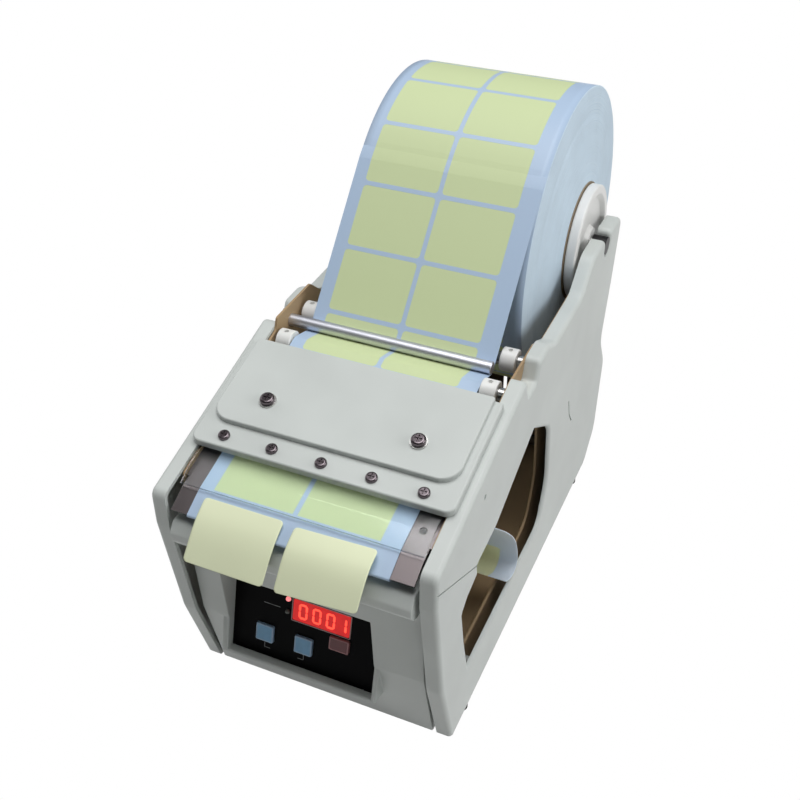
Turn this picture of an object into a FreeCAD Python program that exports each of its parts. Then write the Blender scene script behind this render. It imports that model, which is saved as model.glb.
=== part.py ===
import FreeCAD, Part
import math
import os
import re
from FreeCAD import Placement, Rotation, Vector

# Driving sizes, in millimetres and degrees. Y counts back from a datum just behind the nose,
# Z counts up from the underside of the side walls, and X is zero in the middle of the object.
SIZES = {
    # datum and feet
    "middle_back": 203.2,
    "foot_tall": 3.0,
    "foot_radius": 4.5,
    "foot_front": 62.0,
    "foot_rear": 296.0,
    # side walls
    "wall_half": 87.5,
    "wall_thick": 10.0,
    "wall_skin": 2.5,
    "wall_round": 3.0,
    "wall_long": 351.0,
    "wall_chin": 34.5,
    "chin_tall": 62.0,
    "nose_back": 8.0,
    "top_front": 12.0,
    "top_tall": 165.5,
    "top_slope": 14.3,
    "top_back": 145.0,
    "brow_drop": 24.5,
    "notch_long": 19.0,
    "notch_rise": 18.5,
    "lug_rise": 31.5,
    "lug_back": 188.0,
    "deck_rise": 24.0,
    "deck_front": 203.0,
    "deck_back": 258.0,
    "horn_front": 282.0,
    "horn_rise": 8.5,
    "waist_back": 329.0,
    "waist_tall": 113.0,
    "hip_tall": 84.0,
    "dimple_back": 77.0,
    "dimple_drop": 0.5,
    "dimple_radius": 1.8,
    "nick_back": 246.2,
    "nick_tall": 112.0,
    "crease_wide": 1.5,
    # side window
    "window_sill": 39.0,
    "step_drop": 47.0,
    "step_front": 24.0,
    "step_back": 53.0,
    "window_front": 47.0,
    "window_back": 209.0,
    "window_drop": 18.5,
    "window_apex": 166.0,
    # steel chassis
    "chassis_thick": 1.5,
    "chassis_front": 27.0,
    "chassis_back": 327.0,
    "chassis_drop": 3.2,
    "chassis_margin": 3.5,
    "tie_radius": 4.0,
    "tie_low": 16.0,
    "side_gap": 0.1,
    # floor pan under the tie bars
    "pan_tongue": 10.0,
    "pan_thick": 1.5,
    # reel
    "reel_back": 315.0,
    "reel_tall": 199.0,
    "roll_radius": 104.0,
    "core_radius": 41.0,
    "core_bore": 38.0,
    "web_inset": 14.0,
    "web_shift": -1.5,
    "roll_lean": 6.5,
    "axle_radius": 5.0,
    "axle_end_radius": 6.2,
    "axle_end_long": 10.5,
    "axle_end_flush": 0.6,
    "slot_gap": 0.3,
    "hub_radius": 40.0,
    "hub_thick": 7.2,
    "hub_plug": 20.0,
    "hub_gap": 0.8,
    # guide shafts, collars and tension rod
    "guide_radius": 4.0,
    "guide_rise": 22.7,
    "guide_front": 140.0,
    "guide_rear": 175.0,
    "collar_radius": 7.5,
    "collar_long": 10.0,
    "collar_slack": 0.7,
    "rod_radius": 4.0,
    "rod_back": 158.0,
    "rod_rise": 3.6,
    "rod_inset": 15.0,
    # web
    "web_thick": 0.5,
    "web_gap": 0.15,
    # peel plate, clear sheet and cover, in the slanting frame of the wall tops
    "plate_sink": 5.6,
    "plate_thick": 1.2,
    "plate_bend": 8.0,
    "plate_notch": 1.5,
    "plate_nose": 6.2,
    "plate_dip": 3.0,
    "plate_back": 112.0,
    "plate_flange": 7.0,
    "sheet_inset": 1.0,
    "sheet_thick": 1.2,
    "sheet_dip": 2.9,
    "sheet_front": 8.6,
    "sheet_bend": 22.0,
    "sheet_back": 46.0,
    "cover_front": 33.5,
    "cover_back": 113.0,
    "cover_lap": 4.0,
    "cover_thick": 5.0,
    "cover_gap": 0.3,
    "raised_front": 50.0,
    "raised_inset": 5.0,
    "raised_thick": 3.6,
    "raised_round": 12.0,
    "strip_screws_back": 41.0,
    "strip_screw_pitch": 31.0,
    "strip_screw_head": 3.5,
    "cap_screws_back": 69.5,
    "cap_screw_half": 47.5,
    "cap_washer": 5.2,
    "sensor_inset": 9.0,
    "sensor_hole_back": 25.0,
    "sensor_hole_radius": 2.3,
    # front housing
    "house_inset": 2.9,
    "house_skin": 3.0,
    "lip_front": 3.5,
    "lip_drop": 18.0,
    "lip_deep": 18.5,
    "face_back": 18.0,
    "face_knee": 62.0,
    "knee_back": 21.5,
    "house_deep": 48.0,
    # control panel, in its own leaning frame
    "panel_back": 24.0,
    "panel_tall": 44.0,
    "panel_lean": 16.6,
    "panel_left": -55.5,
    "panel_right": 35.0,
    "panel_low": -9.0,
    "panel_high": 45.0,
    "panel_thick": 2.0,
    "glass_left": -16.5,
    "glass_right": 22.0,
    "glass_low": 23.5,
    "glass_high": 38.5,
    "key_half": 6.0,
    "key_row": 8.0,
    "up_key_side": -34.0,
    "down_key_side": -7.3,
    "reset_key_side": 16.2,
    "reset_key_row": 17.1,
    "reset_key_half": 6.6,
    "reset_key_half_tall": 4.6,
    "key_flange": 0.7,
    "pane_flange": 0.8,
    "key_proud": 1.6,
    "key_gap": 0.25,
    "lamp_side": -20.0,
    "lamp_low": 27.9,
    "lamp_high": 36.8,
    "lamp_radius": 1.6,
    "board_gap": 9.0,
    "board_thick": 1.6,
    # liner drive
    "drive_back": 62.0,
    "drive_drop": 28.7,
    "drive_inset": 12.0,
    "drive_radius": 13.0,
    "nip": 1.2,
    "pinch_radius": 7.5,
    "spindle_radius": 4.0,
    "bush_wall": 2.0,
    "bush_gap": 0.05,
    "gear_module": 0.8,
    "drive_teeth": 36,
    "idler_teeth": 48,
    "pinion_teeth": 12,
    "train_rise": 23.5,
    "gear_thick": 4.5,
    "motor_radius": 17.0,
    "motor_long": 50.0,
    # rear plate, switch and jack
    "rear_thick": 1.5,
    "rear_room": 9.0,
    "switch_inset": 30.9,
    "switch_drop": 24.0,
    "switch_half_wide": 6.5,
    "switch_half_tall": 9.5,
    "rocker_gap": 0.4,
    "jack_side": -12.0,
    "jack_radius": 5.5,
    # peeled labels and liner tail
    "label_wide": 50.0,
    "label_left": -57.5,
    "label_right": 0.5,
    "label_thick": 0.4,
    "tail_inset": 0.2,
    "tail_level": 100.0,
    "tail_knee": 58.0,
}

# Sizes that follow from others
DERIVED = {
    "inside": "wall_half - wall_thick - chassis_thick",
    "plate_half": "inside - side_gap",
    "sheet_half": "inside - sheet_inset",
    "house_half": "wall_half - wall_thick - house_inset",
    "cover_half": "wall_half - wall_thick + cover_lap",
    "raised_half": "cover_half - raised_inset",
    "web_half": "inside - web_inset",
    "web_left": "web_shift - web_half",
    "drive_half": "inside - drive_inset",
    "rod_free_end": "inside - rod_inset",
    "sensor_side": "inside - sensor_inset",
    "tail_edge": "wall_half - tail_inset",
    "brow_tall": "top_tall - brow_drop",
    "notch_floor": "top_tall + notch_rise",
    "lug_tall": "top_tall + lug_rise",
    "deck_tall": "top_tall + deck_rise",
    "horn_tall": "reel_tall + horn_rise",
    "window_top": "top_tall - window_drop",
    "guide_tall": "top_tall + guide_rise",
    "rod_tall": "guide_tall + rod_rise",
    "lip_tall": "top_tall - lip_drop",
    "lip_under": "lip_tall - lip_deep",
    "drive_tall": "top_tall - drive_drop",
    "pinch_tall": "drive_tall + drive_radius + nip + pinch_radius",
    "bush_hole": "spindle_radius + bush_gap + bush_wall",
    "spindle_out": "inside + chassis_thick - 0.1",
    "gear_in": "inside + chassis_thick + 1.2",
    "idler_reach": "gear_module * (drive_teeth + idler_teeth) / 2 + 0.1",
    "pinion_reach": "gear_module * (drive_teeth + 2 * idler_teeth + pinion_teeth) / 2 + 0.2",
    "flange_face": "inside - hub_gap",
    "raised_level": "cover_gap + cover_thick",
    "washer_level": "cover_gap + cover_thick + raised_thick",
    "pan_top": "tie_low - tie_radius - 0.1",
    "window_step": "top_tall - step_drop",
    "rear_tall": "reel_tall - roll_radius - rear_room",
    "switch_side": "switch_inset - plate_half",
    "switch_tall": "rear_tall - switch_drop",
    "pan_front": "house_deep + side_gap",
    "tongue_half": "house_half - house_skin - side_gap",
}

doc = FreeCAD.newDocument("LabelDispenser")
sheet = doc.addObject("Spreadsheet::Sheet", "Sizes")
for row, (word, number) in enumerate(SIZES.items(), start=1):
    sheet.set("A%d" % row, word)
    sheet.set("B%d" % row, str(number))
    sheet.setAlias("B%d" % row, word)
doc.recompute()


def formula(text):
    """A sheet formula in which each size word is a cell reference and each derived word is spelt out."""
    def reference(hit):
        word = hit.group()
        if word in DERIVED:
            return "(" + formula(DERIVED[word]) + ")"
        return "Sizes." + word if word in SIZES else word
    return re.sub(r"[a-z]+(?:_[a-z]+)*", reference, str(text))


def mm(text):
    """The number that a formula of size words gives."""
    answer = sheet.evalExpression(formula(text))
    return float(getattr(answer, "Value", answer))


def bind(item, prop, text):
    item.setExpression(prop, formula(text))


def seat(item, label, base=("0", "-middle_back", "foot_tall"), turn="0"):
    """Name a finished piece and put its frame in the object: base point, then a turn about X."""
    item.Label = label
    item.Placement = Placement(Vector(0, 0, 0), Rotation(Vector(1, 0, 0), mm(turn)))
    if turn != "0":
        bind(item, ".Placement.Rotation.Angle", turn)
    for axis, text in zip("xyz", base):
        bind(item, ".Placement.Base." + axis, text)
    pieces[label] = item
    return item


pieces = {}
TOP = ("0", "top_front - middle_back", "foot_tall + top_tall")
PANEL = ("0", "panel_back - middle_back", "foot_tall + panel_tall")


# Primitives and booleans
def place(item, at, turn=None):
    item.Placement = Placement(Vector(0, 0, 0), turn or Rotation())
    for axis, text in zip("xyz", at):
        bind(item, ".Placement.Base." + axis, text)
    return item


def box(name, at, size):
    item = doc.addObject("Part::Box", name)
    for prop, text in zip(("Length", "Width", "Height"), size):
        bind(item, prop, text)
    return place(item, at)


def bar(name, at, radius, length, along="x"):
    """A round bar that starts at a point and runs along +X, +Y or +Z."""
    item = doc.addObject("Part::Cylinder", name)
    bind(item, "Radius", radius)
    bind(item, "Height", length)
    turns = {"x": Rotation(Vector(0, 1, 0), 90), "y": Rotation(Vector(1, 0, 0), -90), "z": None}
    return place(item, at, turns[along])


def cut(name, base, *tools):
    item = doc.addObject("Part::Cut", name)
    item.Base = base
    item.Tool = tools[0] if len(tools) == 1 else join(name + "_tools", *tools)
    return item


def join(name, *shapes):
    item = doc.addObject("Part::MultiFuse", name)
    item.Shapes = list(shapes)
    return item


def group(name, *shapes):
    item = doc.addObject("Part::Compound", name)
    item.Links = list(shapes)
    return item


# Outlines, sketches and the solids made from them
def outline(corners):
    """Edges of a closed outline of (u, v, radius) corners, each corner rounded by its radius."""
    starts, ends, arcs = [], [], []
    count = len(corners)
    for i, (u, v, radius) in enumerate(corners):
        here = Vector(u, v, 0)
        before = (Vector(*corners[i - 1][:2], 0) - here).normalize()
        after = (Vector(*corners[(i + 1) % count][:2], 0) - here).normalize()
        if not radius:
            starts.append(here)
            ends.append(here)
            arcs.append(None)
            continue
        half = before.getAngle(after) / 2
        reach = radius / math.tan(half)
        inward = (before + after).normalize()
        centre = here + inward * (radius / math.sin(half))
        starts.append(here + before * reach)
        ends.append(here + after * reach)
        arcs.append(Part.Arc(starts[-1], centre - inward * radius, ends[-1]))
    edges = []
    for i in range(count):
        if arcs[i]:
            edges.append(arcs[i])
        if (starts[(i + 1) % count] - ends[i]).Length > 1e-6:
            edges.append(Part.LineSegment(ends[i], starts[(i + 1) % count]))
    return edges


def wire(corners):
    return Part.Wire([edge.toShape() for edge in outline(corners)])


def offset(corners, distance):
    """Edges of an outline moved out, or in by a negative distance."""
    moved = wire(corners).makeOffset2D(distance, 2)
    edges = []
    for edge in moved.Edges:
        ends = [vertex.Point for vertex in edge.Vertexes]
        if isinstance(edge.Curve, Part.Line):
            edges.append(Part.LineSegment(*ends))
        else:
            first, last = edge.FirstParameter, edge.LastParameter
            edges.append(Part.Arc(*[edge.valueAt(u) for u in (first, (first + last) / 2, last)]))
    return edges


def ring(u, v, radius):
    return [Part.Circle(Vector(u, v, 0), Vector(0, 0, 1), radius)]


def new_body(name):
    return doc.addObject("PartDesign::Body", name)


def sketch(body, name, role, *loops, lift="0"):
    """A sketch on one of the body's own planes, lifted along the plane's normal."""
    item = body.newObject("Sketcher::SketchObject", name)
    plane = [feature for feature in body.Origin.OriginFeatures if feature.Role == role][0]
    item.AttachmentSupport = [(plane, "")]
    item.MapMode = "FlatFace"
    bind(item, ".AttachmentOffset.Base.z", lift)
    for edges in loops:
        for edge in edges:
            item.addGeometry(edge, False)
    return item


def pad(body, name, profile, length, backward=False):
    item = body.newObject("PartDesign::Pad", name)
    item.Profile = profile
    item.Reversed = backward
    bind(item, "Length", length)
    return item


def pocket(body, name, profile, length, backward=False):
    item = body.newObject("PartDesign::Pocket", name)
    item.Profile = profile
    item.Reversed = backward
    bind(item, "Length", length)
    return item


def turned(body, name, profile):
    """A solid turned about the body's X axis."""
    item = body.newObject("PartDesign::Revolution", name)
    item.Profile = profile
    axis = [feature for feature in body.Origin.OriginFeatures if feature.Role == "X_Axis"][0]
    item.ReferenceAxis = (axis, [""])
    item.Angle = 360
    return item


def slope_point(along, up):
    """Y and Z of a point given in the slanting frame of the wall tops."""
    angle = math.radians(mm("top_slope"))
    return (mm("top_front") + along * math.cos(angle) - up * math.sin(angle),
            mm("top_tall") + along * math.sin(angle) + up * math.cos(angle))


def top_line(back):
    return mm("top_tall") + (back - mm("top_front")) * math.tan(math.radians(mm("top_slope")))


# Side walls: hollow moulded shells, open to the inside, with a window, an axle slot and a notch
def wall_outline():
    slot = mm("axle_end_radius + slot_gap")
    reel, floor = mm("reel_back"), mm("reel_tall") - slot
    nose, top_back, back = mm("nose_back"), mm("top_back"), mm("wall_long")
    notch_back = top_back + mm("notch_long")
    horn, lug = mm("horn_tall"), mm("lug_tall")
    return [
        (mm("wall_chin"), 0, mm("wall_round")), (nose + 9.5, mm("chin_tall"), 30),
        (nose - 0.5, mm("brow_tall"), 10),
        (nose, top_line(nose), 6), (top_back, top_line(top_back), 4),
        (top_back + 4, mm("notch_floor"), 3), (notch_back, mm("notch_floor"), 3),
        (notch_back + 6, lug, 5), (mm("lug_back"), lug, 8),
        (mm("deck_front"), mm("deck_tall"), 12), (mm("deck_back"), mm("deck_tall"), 14),
        (mm("horn_front"), horn, 16), (reel - slot, horn, 4),
        (reel - slot, floor, slot * 0.98), (reel + slot, floor, slot * 0.98),
        (reel + slot, horn, 4), (back, horn - 2, 6),
        (back - 10, mm("waist_tall") + 44, 30), (mm("waist_back"), mm("waist_tall"), 20),
        (back - 4, mm("hip_tall"), 20), (back - 10, 20, 20), (back - 33, 0, 14),
    ]


def window_outline():
    front, back = mm("window_front"), mm("window_back")
    sill, top, apex, step = mm("window_sill"), mm("window_top"), mm("window_apex"), mm("window_step")
    step_front, step_back = front + mm("step_front"), front + mm("step_back")
    edge_round = mm("wall_round")
    return [
        (front + 13, sill, edge_round), (front + 5, sill + 34, 20), (front, step - 17.5, edge_round),
        (front + 7, step - 12.5, edge_round), (step_front, step - 8, edge_round / 2),
        (step_front - 1, step, edge_round / 2), (step_back, step + 3, 20), (apex, top, edge_round),
        (back - 6, top - 25, 18), (back, sill + 31, 40), (back - 13, sill, 14),
    ]


def fillet_face(body, name, base, at, radius):
    """Round every edge of the flat faces that lie at one X."""
    doc.recompute()
    shape = base.Shape
    names = []
    for number, edge in enumerate(shape.Edges, start=1):
        if all(abs(vertex.X - at) < 1e-6 for vertex in edge.Vertexes):
            names.append("Edge%d" % number)
    item = body.newObject("PartDesign::Fillet", name)
    item.Base = (base, names)
    bind(item, "Radius", radius)
    return item


def make_wall(label, side):
    body = new_body(label)
    inner = "%d * (wall_half - wall_thick)" % side
    outer = "%d * wall_half" % side
    profile = sketch(body, label + "_profile", "YZ_Plane", outline(wall_outline()),
                     outline(window_outline()), lift=inner)
    slab = pad(body, label + "_slab", profile, "wall_thick", backward=side < 0)
    rounded = fillet_face(body, label + "_rounding", slab, mm(outer), "wall_round")
    hollow = sketch(body, label + "_hollow_profile", "YZ_Plane", offset(wall_outline(), -mm("wall_skin")),
                    lift=inner)
    pocket(body, label + "_hollow", hollow, "wall_thick - wall_skin", backward=side > 0)
    doc.recompute()
    crease_wide, (crease_back, crease_tall, _) = mm("crease_wide"), window_outline()[5]
    crease_front, crease_top = mm("nose_back") - 4, mm("top_tall") - 9
    crease = [(crease_front, crease_top, 0), (crease_back, crease_tall + 0.8, 0),
              (crease_back, crease_tall + 0.8 - crease_wide, 0),
              (crease_front, crease_top - crease_wide, 0)]
    nick = [(mm("nick_back") + back, mm("nick_tall") - drop, 0) for back, drop in
            ((0, 0), (1.6, 0), (6.6, 15), (14.4, 26), (13, 26.6), (5, 15.4))]
    marks = sketch(body, label + "_marks", "YZ_Plane", outline(crease), outline(nick),
                   ring(mm("dimple_back"), mm("top_tall - dimple_drop"), mm("dimple_radius")), lift=outer)
    pocket(body, label + "_grooves", marks, "wall_skin / 3", backward=side < 0)
    return seat(body, label)


for label, side in (("side_wall_right", 1), ("side_wall_left", -1)):
    make_wall(label, side)

# Rubber feet under the walls
feet = []
for row_word in ("foot_front", "foot_rear"):
    for side in (-1, 1):
        middle_side = "%d * (wall_half - wall_thick / 2)" % side
        feet.append(bar("foot%d" % len(feet), (middle_side, row_word, "-foot_tall"), "foot_radius",
                        "foot_tall", "z"))
seat(group("feet", *feet), "rubber_feet")


# Chassis: one steel plate against the inside of each wall, with the window and the bearing holes
def chassis_outline(side):
    front, back = mm("chassis_front"), mm("chassis_back")
    drop, top_back = mm("chassis_drop"), mm("top_back")
    ear = mm("lug_tall") + (5.5 if side < 0 else -1.5)
    deck = min(mm("deck_tall") - 2.5, mm("reel_tall - axle_end_radius - slot_gap") - 5.5)
    return [
        (front + 22, 10, 5), (front + 4, 60, 8), (front, 130, 8), (front, top_line(front) - drop, 3),
        (top_back - 6, top_line(top_back - 6) - drop, 3), (top_back - 3, ear, 2), (top_back + 41, ear, 4),
        (mm("deck_front"), deck, 6), (back, deck, 8), (back, 12, 6), (back - 14, 10, 6),
    ]


def train_point(reach):
    """Y and Z of a point on the line of gear centres, at a distance from the drive roller."""
    rise = math.radians(mm("train_rise"))
    return (mm("drive_back") + reach * math.cos(rise), mm("drive_tall") + reach * math.sin(rise))


bores = [
    (mm("guide_front"), mm("guide_tall"), mm("guide_radius") + 0.02),
    (mm("guide_rear"), mm("guide_tall"), mm("guide_radius") + 0.02),
    (mm("drive_back"), mm("drive_tall"), mm("bush_hole")),
    (mm("drive_back"), mm("pinch_tall"), mm("bush_hole") - 1),
]
for label, side in (("chassis_plate_right", 1), ("chassis_plate_left", -1)):
    plate = new_body(label)
    rings = [ring(*bore) for bore in bores]
    if side < 0:
        rings.append(ring(mm("rod_back"), mm("rod_tall"), mm("rod_radius") + 0.02))
        rings.append(ring(*train_point(mm("idler_reach")), mm("spindle_radius") + 0.02))
        rings.append(ring(*train_point(mm("pinion_reach")), 5))
    plate_face = sketch(plate, label + "_profile", "YZ_Plane", outline(chassis_outline(side)),
                        offset(window_outline(), mm("chassis_margin")), *rings,
                        lift="%d * (wall_half - wall_thick)" % side)
    pad(plate, label + "_sheet", plate_face, "chassis_thick", backward=side > 0)
    seat(plate, label)

ties = []
for back, tall in (("chassis_front + 29", "tie_low"), ("chassis_back - 21", "tie_low + 4"),
                   ("window_back + 11", "hip_tall + 28")):
    ties.append(bar("tie%d" % len(ties), ("-inside", back, tall), "tie_radius", "2 * inside"))
seat(group("ties", *ties), "tie_bars")

# Floor pan: a sheet between the chassis plates, under the tie bars, with a tongue inside the front housing
pan = box("pan_sheet", ("-plate_half", "pan_front", "pan_top - pan_thick"),
          ("2 * plate_half", "chassis_back - pan_front - 1", "pan_thick"))
tongue = box("pan_tongue", ("-tongue_half", "pan_front - pan_tongue", "pan_top - pan_thick"),
             ("2 * tongue_half", "pan_tongue + 1", "pan_thick"))
seat(join("pan_whole", pan, tongue), "base_plate")


# Front housing: a moulded nose with a lip, hollow and open at the back, with a sloping tray for the panel
def housing_outline(skin):
    lip, under = mm("lip_front") + skin, mm("lip_under")
    top = mm("lip_tall") - skin
    deep = mm("house_deep") + (20 if skin else 0)
    chin, face = mm("wall_chin") + skin, mm("face_back") + skin
    crown, brow, chin_round = (2, 1.5, 1) if skin else (5, 4, 4)
    return [
        (deep, top, 0), (lip + 4.5, top, crown), (lip, top - 6.5, brow), (lip, under + 6.5, chin_round),
        (lip + 4.5, under + skin, 3), (face, under - 2 + skin, 3),
        (mm("knee_back") + skin, mm("face_knee"), 12), (chin, skin, 3), (deep, skin, 0),
    ]


house = new_body("front_housing_body")
shell = sketch(house, "housing_profile", "YZ_Plane", outline(housing_outline(0)), lift="-house_half")
pad(house, "housing_block", shell, "2 * house_half")
inner = sketch(house, "housing_inner", "YZ_Plane", outline(housing_outline(mm("house_skin"))),
               lift="house_skin - house_half")
pocket(house, "housing_hollow", inner, "2 * (house_half - house_skin)", backward=True)


def panel_point(up, deep):
    """Y and Z of a point given in the leaning frame of the panel: up along it, deep behind its face."""
    lean = math.radians(mm("panel_lean"))
    return (mm("panel_back") + up * math.sin(lean) + deep * math.cos(lean),
            mm("panel_tall") + up * math.cos(lean) - deep * math.sin(lean))


def prism(name, corners, left, right):
    """A block with one side outline, between two X positions."""
    body = new_body(name)
    face = sketch(body, name + "_face", "YZ_Plane", outline([(u, v, 0) for u, v in corners]), lift=left)
    pad(body, name + "_pad", face, "(%s) - (%s)" % (right, left))
    return body


skin = mm("house_skin")
floor = mm("panel_thick") + skin
tray_low = mm("panel_low") - skin
tray_high = mm("panel_high") + 3 + skin
tray_top = panel_point(tray_high, floor)
ledge_tall = panel_point(tray_low, -1.5)[1]
ledge_back = mm("knee_back") + 13
ledge = prism("panel_ledge", [panel_point(tray_low, -1.5), (ledge_back, ledge_tall),
                              (ledge_back, ledge_tall + skin), panel_point(tray_low + skin, -1.5)],
              "panel_left - house_skin", "panel_right + house_skin")
tray = prism("panel_tray", [panel_point(tray_low, floor), tray_top, (mm("face_back") + 1, tray_top[1] + 5),
                            (mm("knee_back") + 0.5, mm("face_knee")), panel_point(tray_low + 8, -1.5),
                            panel_point(tray_low, -1.5)],
             "panel_left - house_skin", "panel_right + house_skin")
low_edge = panel_point(mm("panel_low"), mm("panel_thick"))
high_edge = panel_point(mm("panel_high") + 3, mm("panel_thick"))
recess = prism("panel_recess", [low_edge, high_edge, (-10, high_edge[1] + 8), (-10, low_edge[1] + 8),
                                panel_point(mm("panel_low"), -4)],
               "panel_left", "panel_right")
well_low, well_high = mm("panel_low") + 5, mm("panel_high") + 4
opening = prism("panel_opening", [panel_point(well_low, 0), panel_point(well_low, floor + 6),
                                  panel_point(well_high - 6, floor + 6), panel_point(well_high - 6, 0)],
                "panel_left + 5", "panel_right - 5")
well = prism("board_well", [panel_point(well_low, floor), panel_point(well_low, floor + 10),
                            panel_point(well_high, floor + 10), panel_point(well_high, floor)],
             "panel_left", "panel_right")
seat(cut("housing_cut", join("housing_with_tray", house, tray, ledge), recess, opening, well),
     "front_housing")

# Control panel and what sits in it, drawn flat: X across, Y up the panel, Z out of its face
FACE_TURN = "90 - panel_lean"


def rect(left, right, low, high, radius=0.0):
    return outline([(left, low, radius), (right, low, radius), (right, high, radius), (left, high, radius)])


def flat(name, loops, low, high):
    """A flat piece on the body's XY plane between two heights."""
    body = new_body(name)
    pad(body, name + "_pad", sketch(body, name + "_face", "XY_Plane", *loops, lift=low),
        "(%s) - (%s)" % (high, low))
    return body


KEYS = {
    "key_up": ("up_key_side", "key_row", "key_half", "key_half"),
    "key_down": ("down_key_side", "key_row", "key_half", "key_half"),
    "key_reset": ("reset_key_side", "reset_key_row", "reset_key_half", "reset_key_half_tall"),
}


def key_loop(side, row, wide, tall, more, radius):
    side, row, wide, tall = mm(side), mm(row), mm(wide) + more, mm(tall) + more
    return rect(side - wide, side + wide, row - tall, row + tall, radius)


glass = rect(mm("glass_left"), mm("glass_right"), mm("glass_low"), mm("glass_high"), 1)
holes = [key_loop(*key, mm("key_gap"), 1.2) for key in KEYS.values()]
holes += [ring(mm("lamp_side"), mm(row), mm("lamp_radius") + 0.1) for row in ("lamp_low", "lamp_high")]
panel_rim = rect(mm("panel_left") + 0.2, mm("panel_right") - 0.2, mm("panel_low") + 0.2,
                 mm("panel_high"), 1.5)
seat(flat("control_panel", [panel_rim, glass] + holes, "-panel_thick", "0"),
     "control_panel", PANEL, FACE_TURN)
pane = rect(mm("glass_left") + 0.15, mm("glass_right") - 0.15, mm("glass_low") + 0.15,
            mm("glass_high") - 0.15, 1)
pane_rim = rect(mm("glass_left - pane_flange"), mm("glass_right + pane_flange"),
                mm("glass_low - pane_flange"), mm("glass_high + pane_flange"), 1)
seat(join("display_pane", flat("pane_front", [pane], "-panel_thick - 0.6", "0.2"),
          flat("pane_flange", [pane_rim], "-panel_thick - 1.1", "-panel_thick - 0.1")),
     "display_window", PANEL, FACE_TURN)
for label, key in KEYS.items():
    cap = new_body(label + "_cap")
    face = sketch(cap, label + "_face", "XY_Plane", key_loop(*key, 0, 1), lift="-panel_thick - 0.6")
    top = pad(cap, label + "_top", face, "panel_thick + 0.6 + key_proud")
    doc.recompute()
    rim = ["Edge%d" % number for number, edge in enumerate(top.Shape.Edges, start=1)
           if all(abs(vertex.Z - mm("key_proud")) < 1e-6 for vertex in edge.Vertexes)]
    edge_round = cap.newObject("PartDesign::Fillet", label + "_rounding")
    edge_round.Base = (top, rim)
    edge_round.Radius = 0.5
    flange = flat(label + "_flange", [key_loop(*key, mm("key_flange"), 1)],
                  "-panel_thick - 1.2", "-panel_thick - 0.1")
    stem = bar(label + "_stem", (key[0], key[1], "-panel_thick - 2.5"), "1.7", "2", "z")
    seat(join(label + "_whole", cap, flange, stem), label, PANEL, FACE_TURN)

lamps = []
for row in ("lamp_low", "lamp_high"):
    dome = doc.addObject("Part::Sphere", "lamp_dome_" + row)
    bind(dome, "Radius", "lamp_radius")
    place(dome, ("lamp_side", row, "0.2"))
    lens = bar("lamp_lens_" + row, ("lamp_side", row, "-board_gap + 0.1"), "lamp_radius", "board_gap", "z")
    collar = bar("lamp_base_" + row, ("lamp_side", row, "-board_gap + 0.1"), "lamp_radius + 0.5",
                 "1.2", "z")
    lamps.append(join("lamp_" + row, lens, dome, collar))
seat(group("lamps", *lamps), "status_lamps", PANEL, FACE_TURN)

board_face = rect(mm("panel_left") + 1, mm("panel_right") - 1, mm("panel_low") + 6, mm("panel_high") + 2, 1)
board_bits = [flat("board_sheet", [board_face], "-board_gap - board_thick", "-board_gap")]
for label, key in KEYS.items():
    switch = rect(mm(key[0]) - 3, mm(key[0]) + 3, mm(key[1]) - 3, mm(key[1]) + 3, 0.3)
    board_bits.append(flat(label + "_switch", [switch], "-board_gap", "-board_gap + 3"))
    board_bits.append(bar(label + "_button", (key[0], key[1], "-board_gap + 2.5"), "1.5", "1", "z"))
board_bits.append(box("board_socket", ("panel_left + 8", "panel_low + 30", "-board_gap - board_thick - 7"),
                      ("20", "8", "7.5")))
board_bits.append(box("board_chip", ("panel_left + 42", "panel_low + 24", "-board_gap - board_thick - 1.8"),
                      ("12", "12", "2")))
seat(join("circuit_board", *board_bits), "circuit_board", PANEL, FACE_TURN)
module_height = "board_gap - panel_thick - 1.4"
module = box("module", ("glass_left", "glass_low - 1", "-board_gap + 0.05"),
             ("glass_right - glass_left", "glass_high - glass_low + 2", module_height))
seat(group("module_group", module), "display_module", PANEL, FACE_TURN)
posts = []
for side in ("panel_left + 3", "panel_right - 3"):
    for row in ("panel_low + 8.2", "panel_high - 0.4"):
        posts.append(bar("post%d" % len(posts), (side, row, "-board_gap"), "1.9",
                         "board_gap - panel_thick - house_skin", "z"))
seat(group("posts", *posts), "board_posts", PANEL, FACE_TURN)


# Bent sheets and belts
def ribbon(path, thick):
    """Closed outline of a sheet that follows a path of (u, v, radius) corners on its middle line."""
    sides = {1: [], -1: []}
    points = [Vector(u, v, 0) for u, v, radius in path]
    courses = [(after - before).normalize() for before, after in zip(points, points[1:])]
    for i, here in enumerate(points):
        radius = path[i][2]
        ahead, behind = courses[min(i, len(courses) - 1)], courses[max(i - 1, 0)]
        bisector = (ahead + behind).normalize()
        normal = Vector(-bisector.y, bisector.x, 0)
        stretch = thick / 2 / bisector.dot(ahead)
        left_turn = behind.cross(ahead).z > 0
        for side in sides:
            point = here + normal * (stretch * side)
            bend = radius - thick / 2 if (side > 0) == left_turn else radius + thick / 2
            sides[side].append((point.x, point.y, max(bend, 0) if radius else 0))
    return outline(sides[1] + sides[-1][::-1])


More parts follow.
